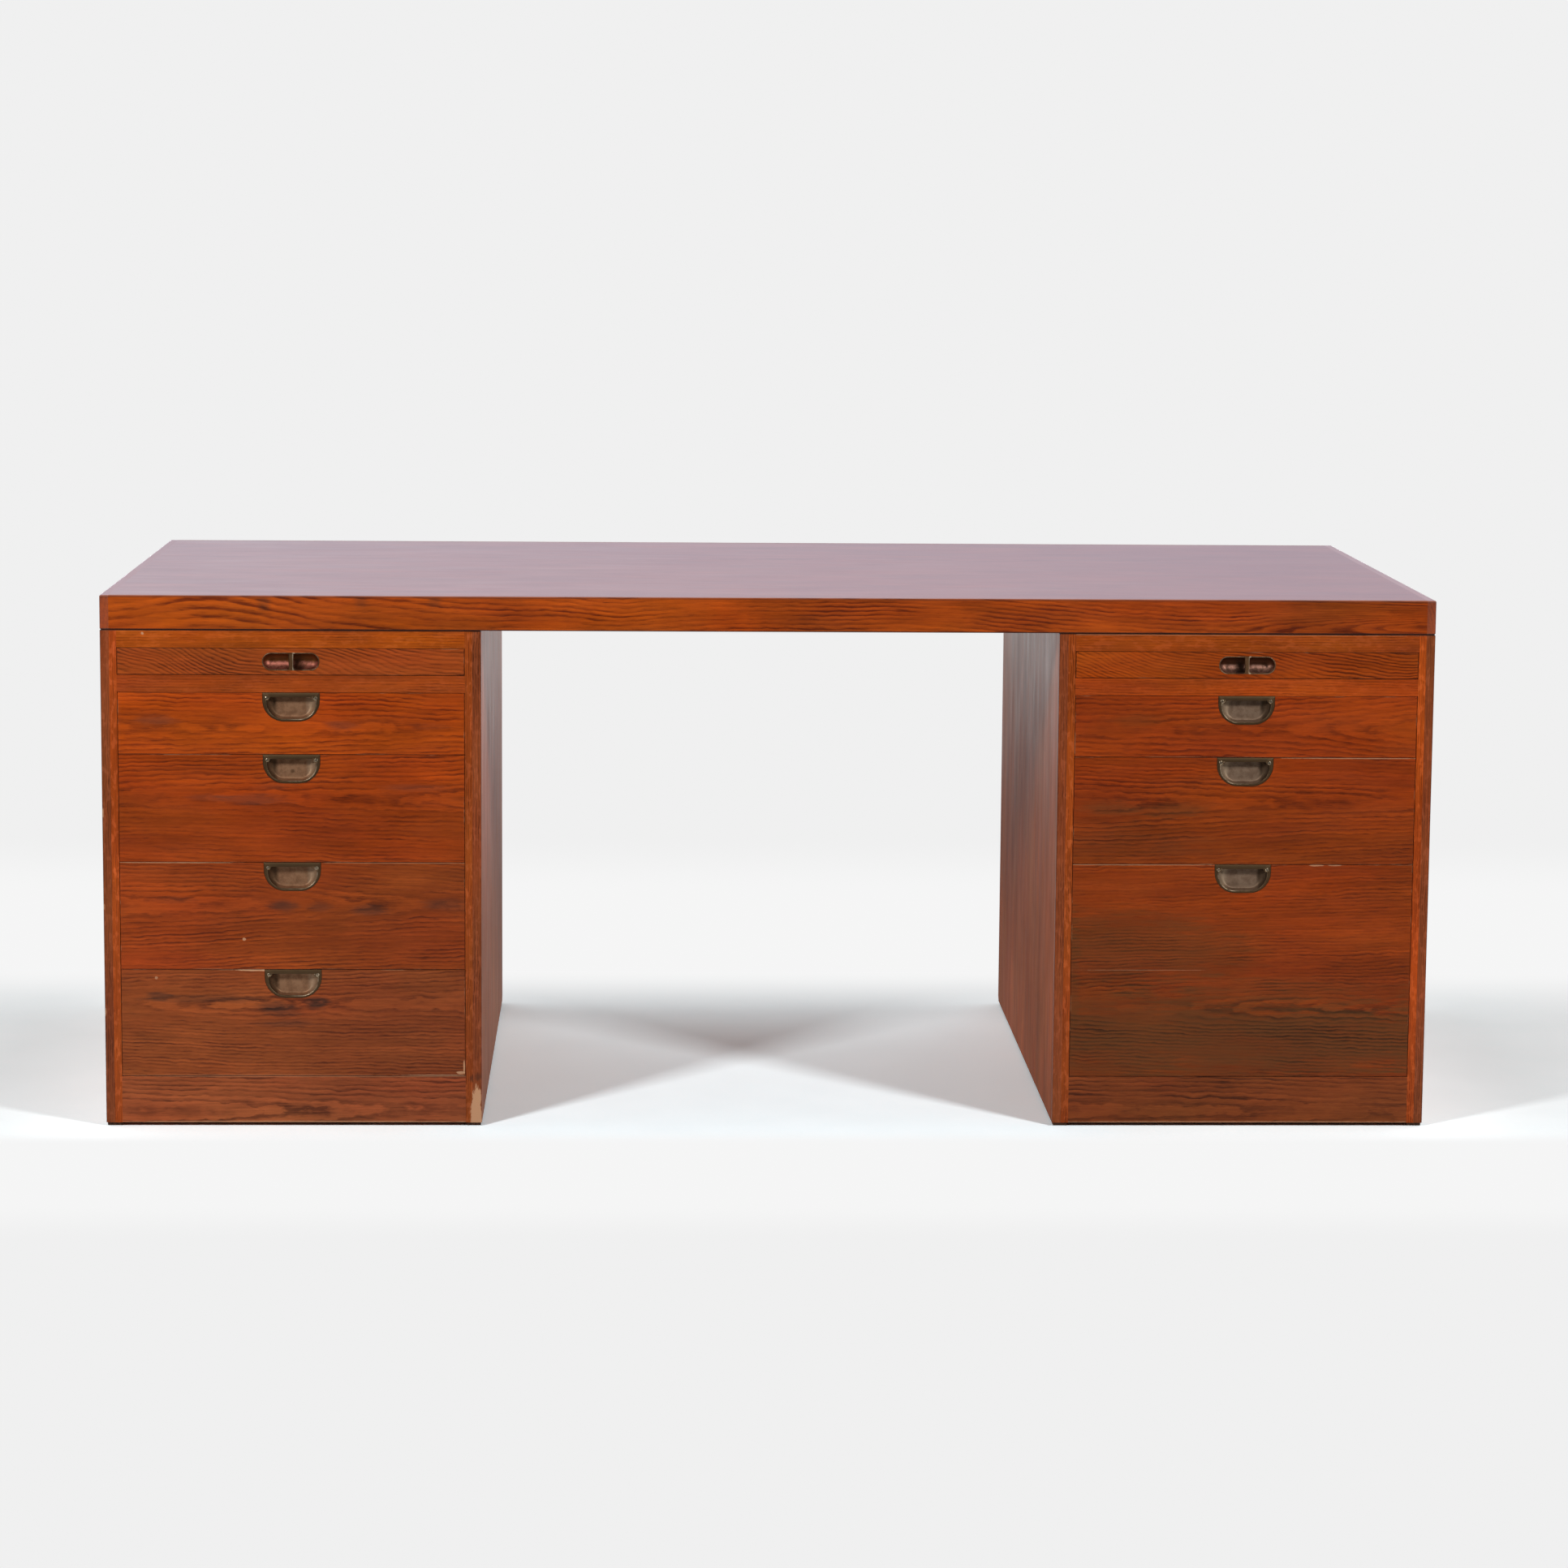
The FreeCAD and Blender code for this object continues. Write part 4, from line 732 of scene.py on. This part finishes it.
# the unstained boards inside: material, its grain, how the names of its nodes end
innerWoods = (
    ("drawerSideWood", {"grain": "y", "heart": (0.0, 0.1), "seed": 103.0}, "_sides"),
    ("drawerBackWood", {"heart": (0.2, 0.3), "seed": 107.0}, "_back"),
    ("drawerBottomPly", {"heart": (0.1, 0.35), "seed": 109.0, "taper": 0.01}, "_bottom"),
    ("runnerBeech", {"grain": "y", "heart": (0.3, 0.4), "seed": 113.0, "taper": 0.01},
     ("drawer_runners", "leaf_kickers")),
    ("insideWood", {"heart": (0.3, 0.5), "seed": 117.0, "taper": 0.01}, "case_bottoms"),
)


def dressBoards(looks, woods):
    for node, look in looks.items():
        dress(node, oak("oak_" + node, **look))
    for name, look, ending in woods:
        wood = oak(name, **plainWood, **look)
        for node in nodes:
            if node.endswith(ending):
                dress(node, wood)


dressBoards(boardLooks, innerWoods)
print("boards done")


# Metal. Each look adds its colour, its tarnish and a seed.
metalBase = {
    "clouds": 90.0,
    "dirt": 0.5,
    "scratch": 0.3,
    "bump": 0.25,
    "bumpDepth": 0.00008,
    "roughness": 0.42,
    "flange": None,          # colour of the flat rim, darker than the dish: partly tarnish, partly painted shade
    # pale rubbed brass: wear on the bead, and a painted highlight on the lit slope of a dish and on one edge of a bar
    "rubbedAndHighlight": (0.75, 0.6, 0.42),
    "worn": (0.05, 0.5),     # least and most pale on the rim's bead: rub wear and a painted highlight
    # painted shade: the dark slope of a dish and the upper part of a cup
    "deep": (0.05, 0.028, 0.014),
    "slopes": None,          # (middle, dark side, inner, outer): painted shade on one slope of a dish, a painted highlight on the other
    "bar": None,             # where the upright bar of a leaf pull stands
    "smudgesAndShade": [],             # dark spots: a smudge on a plate, painted shadow beside a cup's bar
}
# depths behind the fronts over which each zone of a pull begins
pullZones = {
    "rim": (0.0032, 0.0018),
    "bead": (0.0004, 0.0001),
    "dish": (0.0022, 0.0035),
    "cup": (0.0004, 0.002),
    "bar": (0.0074, 0.0066),
}


def metal(name, **changes):
    look = {**metalBase, **changes}
    material, tree, shader, place = newMaterial(name)
    axes = split(tree, place)
    seed = look["seed"]

    def zone(kind):
        start, stop = pullZones[kind]
        return smooth(tree, axes["Y"], frontY + start, frontY + stop)

    cloud = noise(tree, place, [look["clouds"]] * 3, seed, 5.0, 0.65)
    fine = noise(tree, place, (700, 700, 700), seed + 2, 3.0, 0.6)
    aged = smooth(tree, cloud, 0.42, 0.62, 0.0, look["dirt"])
    shade = blendColour(tree, aged, look["colour"], look["tarnish"])
    specks = smooth(tree, fine, 0.6, 0.7, 0.0, 0.4)
    shade = blendColour(tree, specks, shade, [c * 0.4 for c in look["tarnish"]])
    rough = calc(tree, "MULTIPLY_ADD", cloud, 0.25, look["roughness"] - 0.12)
    if look["slopes"]:
        middle, side, inner, outer = look["slopes"]
        across = times(tree, calc(tree, "SUBTRACT", axes["X"], middle), side)
    if look["flange"]:
        shade = blendColour(tree, zone("rim"), shade, look["flange"])
        worn = times(tree, zone("bead"), smooth(tree, cloud, 0.42, 0.6, *look["worn"]))
        if look["slopes"]:
            # painted highlight: the bead stays pale only on the side the lamps light
            worn = times(tree, worn, smooth(tree, across, *look["beadLitSide"], 0.15, 1.0))
        shade = blendColour(tree, worn, shade, look["rubbedAndHighlight"])
        rough = calc(tree, "MULTIPLY_ADD", worn, -0.12, rough)
    # painted shade on one slope of each dish and a painted highlight on the other, as the lamps would light them
    if look["slopes"]:
        dish = zone("dish")
        for start, stop, most, tone in ((inner, outer, 0.75, look["deep"]), (-inner, -outer, 0.3, look["rubbedAndHighlight"])):
            slope = smooth(tree, across, start, stop, 0.0, most)
            shade = blendColour(tree, times(tree, dish, slope), shade, tone)
        rough = calc(tree, "MULTIPLY_ADD", dish, 0.14, rough)
    if look["bar"]:
        # the bar is as dark as the rim, with a painted highlight on one edge, and painted shade darkens the cup upwards
        # behind it
        away = calc(tree, "SUBTRACT", axes["X"], look["bar"])
        onBar = times(tree, smooth(tree, calc(tree, "ABSOLUTE", away), *look["barHalf"]), zone("bar"))
        barShade = blendColour(tree, smooth(tree, away, *look["barEdge"], 0.0, 0.7), look["flange"], look["rubbedAndHighlight"])
        shade = blendColour(tree, onBar, shade, barShade)
        high = smooth(tree, calc(tree, "MULTIPLY_ADD", cloud, 0.004, axes["Z"]), *look["upper"])
        inCup = times(tree, zone("cup"), calc(tree, "SUBTRACT", 1.0, onBar))
        shade = blendColour(tree, times(tree, high, inCup), shade, look["deep"])
    # dark spots: a smudge on one plate, painted shadow beside the cups' bars
    if look["smudgesAndShade"]:
        wobble = times(tree, calc(tree, "SUBTRACT", fine, 0.5), 1.2)
        smudgesAndShade = spots(tree, axes, look["smudgesAndShade"], wobble)
        shade = blendColour(tree, smudgesAndShade, shade, [c * 0.35 for c in look["tarnish"]])
    rough = calc(tree, "MULTIPLY_ADD", specks, 0.3, rough)
    scratches = noise(tree, place, (60, 60, 2600), seed + 4, 1.0)
    height = calc(tree, "MULTIPLY_ADD", scratches, look["scratch"], fine)
    fill(tree, shader, {"Base Color": shade, "Metallic": 1.0, "Roughness": rough, "Normal": relief(tree, height, look)})
    return material


plateLook = {"roughness": 0.5, "flange": (0.105, 0.064, 0.033), "beadLitSide": (0.012, -0.018)}
# the slopes are painted shade and highlight; the left plate's spot is a smudge
leftPlate = {
    **plateLook, "colour": (0.345, 0.194, 0.11), "tarnish": (0.18, 0.087, 0.046), "seed": 5.0,
    "slopes": (-0.645, -1.0, 0.017, 0.0245), "smudgesAndShade": [(-0.6446, 0.4868, 0.0034, 0.003, 0.6)],
}
rightPlate = {
    **plateLook, "colour": (0.276, 0.19, 0.131), "tarnish": (0.144, 0.085, 0.055), "seed": 6.5,
    "slopes": (0.645, 1.0, 0.018, 0.025),
}
cupLook = {
    "roughness": 0.55, "dirt": 0.85, "clouds": 150.0, "seed": 9.0, "worn": (0.0, 0.15),
    "barHalf": (0.0054, 0.0046), "barEdge": (0.0016, 0.0026),
    "upper": (0.6365, 0.6395),       # heights between which a cup turns dark: painted shade in its upper part
}
# the cups' pink-red colour is partly brass, partly a painted reflection of the red wood round them
leftCup = {
    **cupLook, "colour": (0.44, 0.155, 0.108), "tarnish": (0.17, 0.062, 0.034), "deep": (0.19, 0.068, 0.022),
    "flange": (0.13, 0.066, 0.03), "bar": -0.645, "smudgesAndShade": [(-0.6355, 0.631, 0.0085, 0.013, 0.93)],
}
rightCup = {
    **cupLook, "colour": (0.35, 0.18, 0.13), "tarnish": (0.12, 0.058, 0.038), "deep": (0.11, 0.042, 0.022),
    "flange": (0.16, 0.085, 0.042), "bar": 0.645, "smudgesAndShade": [(0.636, 0.631, 0.008, 0.013, 0.93)],
}
headLook = {"colour": (0.5, 0.4, 0.28), "tarnish": (0.2, 0.14, 0.08), "roughness": 0.34, "seed": 15.0}
steelLook = {
    "colour": (0.56, 0.55, 0.53), "tarnish": (0.25, 0.23, 0.21), "roughness": 0.38, "dirt": 0.3, "seed": 13.0,
}
leftBrass = metal("agedBrassPaintedLightLeft", **leftPlate)
rightBrass = metal("agedBrassPaintedLightRight", **rightPlate)
leftCupBrass = metal("cupBrassPaintedLightLeft", **leftCup)
rightCupBrass = metal("cupBrassPaintedLightRight", **rightCup)
headBrass = metal("screwHeadBrass", **headLook)
steel = metal("screwSteel", **steelLook)
dress("runner_screws", steel)
dress("top_screws", steel)
print("metal done")


# Pulls. Outlines are (x, z) in mm from the middle of the pull's lower edge, depths in mm behind the fronts.
nextToMiddle = 0.6    # each half of an outline starts here, so that the two halves share no point


def sweep(centreX, centreZ, radius, start, stop, count):
    turns = [math.radians(start + (stop - start) * step / count) for step in range(count)]
    return [(centreX + radius * math.cos(turn), centreZ + radius * math.sin(turn)) for turn in turns]


def run(first, last, count):
    return [(first[0] + (last[0] - first[0]) * step / count, first[1] + (last[1] - first[1]) * step / count)
            for step in range(count)]


def mirrored(half):
    # a right half that runs upwards becomes a whole outline
    half = [(max(x, nextToMiddle), z) for x, z in half]
    return half + [(-x, z) for x, z in reversed(half)]


def placer(centreX, lowZ):
    def at(loop, depth):
        return [(centreX + x, frontY / mm + depth, lowZ + z) for x, z in loop]
    return at


def skin(name, loops, material, body, shells=(), sharp=38):
    # joins loops of (x, y, z) points of one length into a closed skin; shells are further closed skins
    mesh = bpy.data.meshes.new(name)
    build = bmesh.new()
    for rings in [loops, *shells]:
        rows = [[build.verts.new([value * mm for value in point]) for point in ring] for ring in rings]
        for first, second in zip(rows, rows[1:]):
            for step in range(len(first)):
                after = (step + 1) % len(first)
                build.faces.new((first[step], first[after], second[after], second[step]))
        build.faces.new(list(reversed(rows[0])))
        build.faces.new(rows[-1])
    bmesh.ops.recalc_face_normals(build, faces=build.faces)
    build.to_mesh(mesh)
    build.free()
    for face in mesh.polygons:
        face.use_smooth = True
    mesh.set_sharp_from_angle(angle=math.radians(sharp))
    piece = bpy.data.objects.new(name, mesh)
    scene.collection.objects.link(piece)
    mesh.materials.append(material)
    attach(piece, body)
    return piece


flushPull = {
    "half": 38.5, "height": 39.0, "corner": 29.0,
    "shoulder": 34.0, "shoulderRun": 5.0,                  # the points stand closer round the upper corners
    "openHalf": 33.0, "openLow": 3.5, "openTop": 33.0, "openCorner": 22.0, "notch": 4.5,
    "floorHalf": 23.0, "floorLow": 6.0, "floorCorner": 13.0, "floorNotch": 2.0,
    "plateFront": 0.5, "plateBack": 2.1, "depth": 9.6, "upright": 2.4, "wall": 1.2,
    "arris": ((0.0, 0.35), (0.08, 0.14), (0.3, 0.0)),      # (inset, depth) of the plate's outer edge
    "bead": ((1.45, 0.5), (1.3, 0.32), (1.0, 0.1), (0.65, 0.02), (0.3, 0.1), (0.06, 0.3), (0.0, 0.6)),
    "slopeSteps": 9,
    "crown": ((0.7, 0.05), (0.4, 0.1), (0.15, 0.12)),      # (share, rise): the floor bulges a little
    "gripHalf": 22.0, "gripRise": 2.5, "gripDepth": 8.0, "gripBlend": 1.5,
    "screwX": 33.0, "screwZ": 31.7, "screwRadius": 2.25, "slotHalf": 0.38, "slotTurns": (38.0, 105.0),
    "head": ((0.0, 0.9), (0.0, 0.32), (0.12, 0.18), (0.45, 0.1), (1.0, 0.06)),
    "headSteps": 12,
}


# plateLoop and dishLoop have as many points in each part, so that skin can join them
def plateLoop(setup, inset):
    half, top = setup["half"] - inset, setup["height"] - inset
    corner, shoulder = setup["corner"], setup["shoulder"]
    centre = setup["half"] - corner
    upper = half - setup["shoulderRun"]
    side = run((0.0, inset), (centre, inset), 6)
    side += sweep(centre, corner, corner - inset, -90, 0, 24)
    side += run((half, corner), (half, shoulder), 4) + run((half, shoulder), (half, top), 4)
    side += run((half, top), (upper, top), 5) + run((upper, top), (nextToMiddle, top), 8)
    return mirrored(side)


def dishLoop(half, low, top, corner, notch, grow):
    # an opening with hollow upper corners; grow moves its edge outwards
    centre = half - corner
    side = run((0.0, low - grow), (centre, low - grow), 6)
    side += sweep(centre, low + corner, corner + grow, -90, 0, 24)
    side += run((half + grow, low + corner), (half + grow, top - notch + grow), 4)
    side += sweep(half, top, notch - grow, -90, -180, 8)
    side += [(half - notch + grow, top)]
    side += run((half - notch + grow, top + grow), (nextToMiddle, top + grow), 8)
    return mirrored(side)


def raised(setup, loop, extra=0.0):
    # the fingertips' room behind the top of the plate
    reach, rise, blend = setup["gripHalf"] + extra, setup["gripRise"], setup["gripBlend"]
    top = max(z for _, z in loop)
    return [(x, z + rise * min(1.0, max(0.0, (reach - abs(x)) / blend)) if top - z < 0.01 else z) for x, z in loop]


def addFlushPull(setup, node, body, centreX, lowZ):
    at = placer(centreX, lowZ)
    rim = (setup["openHalf"], setup["openLow"], setup["openTop"], setup["openCorner"], setup["notch"])
    opening = dishLoop(*rim, 0.0)
    floor = dishLoop(setup["floorHalf"], setup["floorLow"], setup["openTop"], setup["floorCorner"],
                     setup["floorNotch"], 0.0)
    front, back, wall = setup["plateFront"], setup["plateBack"], setup["wall"]
    shell = dishLoop(*rim, wall)
    grip = back + setup["gripDepth"]
    loops = [at(shell, back + setup["depth"] + wall), at(shell, grip + wall + 0.02),
             at(raised(setup, shell, wall), grip + wall), at(raised(setup, shell, wall), back),
             at(plateLoop(setup, 0.0), back)]
    loops += [at(plateLoop(setup, inset), front + depth) for inset, depth in setup["arris"]]
    for grow, depth in setup["bead"]:
        loop = at(dishLoop(*rim, grow), depth)
        top = lowZ + setup["openTop"] + grow
        # the bead ends at the screws: the straight upper edge has none
        loops.append([(x, max(y, frontY / mm + front) if top - z < 0.01 else y, z) for x, y, z in loop])
    loops += [at(opening, back), at(raised(setup, opening), back + 0.02)]
    for step in range(setup["slopeSteps"] + 1):
        # a short upright wall, then a slope that flattens towards the floor
        share = step / setup["slopeSteps"]
        loop = [(a[0] + (b[0] - a[0]) * share, a[1] + (b[1] - a[1]) * share) for a, b in zip(opening, floor)]
        depth = back + setup["upright"] + (setup["depth"] - setup["upright"]) * (1 - (1 - share) ** 2)
        loops.append(at(raised(setup, loop) if depth < grip else loop, depth))
    middleZ = (setup["floorLow"] + setup["openTop"]) / 2
    for share, rise in setup["crown"]:
        loop = [(x * share, middleZ + (z - middleZ) * share) for x, z in floor]
        loops.append(at(loop, back + setup["depth"] - rise))
    plate = skin(node + "_plate", loops, leftBrass if centreX < 0 else rightBrass, body)
    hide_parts(node)
    # each head is two halves beside its slot
    heads = []
    edge = math.degrees(math.asin(setup["slotHalf"] / setup["screwRadius"]))
    for side, turn in zip((-1, 1), setup["slotTurns"]):
        for flip in (0, 180):
            start, stop = turn + flip + edge, turn + flip + 180 - edge
            rings = []
            for inset, depth in setup["head"]:
                radius = setup["screwRadius"] - inset
                half = sweep(0, 0, radius, start, stop, setup["headSteps"]) + sweep(0, 0, radius, stop, stop + 1, 1)
                rings.append(at([(side * setup["screwX"] + x, setup["screwZ"] + z) for x, z in half], depth))
            heads.append(rings)
    skin(node + "_screw_heads", heads[0], headBrass, body, shells=heads[1:])


leafPull = {
    "half": 38.5, "radius": 12.0, "rearDepth": 14.0,
    "rim": ((0.0, 0.45), (0.12, 0.15), (0.4, 0.02), (0.8, 0.02), (1.12, 0.2), (1.25, 0.6)),   # (inset, depth)
    "bowl": (1.25, 11.3, 0.6, 12.8),     # inset at the rim and at the floor, depth there and there
    "bowlSteps": 10,
    "floorInset": 0.4,
    "bar": (3.2, 2.8, 3.7),              # half width, half depth, depth of its middle
    "barEnds": (0.9, 23.1),
    "barSteps": 12,
    "barSides": 24,
    "flare": (0.3, 5),                   # how much wider its ends are, and how suddenly
}


def slotLoop(setup, inset):
    centre, radius = setup["half"] - setup["radius"], setup["radius"] - inset
    middle = setup["radius"]
    side = run((nextToMiddle, middle - radius), (centre, middle - radius), 14)
    side += sweep(centre, middle, radius, -90, 90, 26)
    side += run((centre, middle + radius), (nextToMiddle, middle + radius), 14)
    return mirrored(side)


def barLoops(setup, centreX, lowZ):
    halfWide, halfDeep, middle = setup["bar"]
    low, high = setup["barEnds"]
    amount, power = setup["flare"]
    turns = [math.radians(360 / setup["barSides"] * count) for count in range(setup["barSides"])]
    loops = []
    for step in range(setup["barSteps"] + 1):
        share = step / setup["barSteps"]
        wide = halfWide * (1 + amount * abs(2 * share - 1) ** power)
        loops.append([(centreX + wide * math.cos(turn), frontY / mm + middle + halfDeep * math.sin(turn),
                       lowZ + low + (high - low) * share) for turn in turns])
    return loops


def addLeafPull(setup, node, body, centreX, lowZ):
    at = placer(centreX, lowZ)
    loops = [at(slotLoop(setup, 0.0), setup["rearDepth"])]
    loops += [at(slotLoop(setup, inset), depth) for inset, depth in setup["rim"]]
    first, last, high, deep = setup["bowl"]
    for step in range(1, setup["bowlSteps"] + 1):
        turn = math.radians(90 * step / setup["bowlSteps"])
        inset = first + (last - first) * (1 - math.cos(turn))
        loops.append(at(slotLoop(setup, inset), high + (deep - high) * math.sin(turn)))
    loops.append(at(slotLoop(setup, last + setup["floorInset"]), deep))
    brass = leftCupBrass if centreX < 0 else rightCupBrass
    cup = skin(node + "_cup", loops, brass, body, shells=[barLoops(setup, centreX, lowZ)])
    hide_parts(node)


for node in nodes:
    low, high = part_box(node)
    middle = (low.x + high.x) / 2 / mm
    if node.endswith("leaf_pull"):
        addLeafPull(leafPull, node, node[:-5], middle, low.z / mm)
    elif node.endswith("_pull"):
        addFlushPull(flushPull, node, node[:-5], middle, low.z / mm)
print("pulls done")
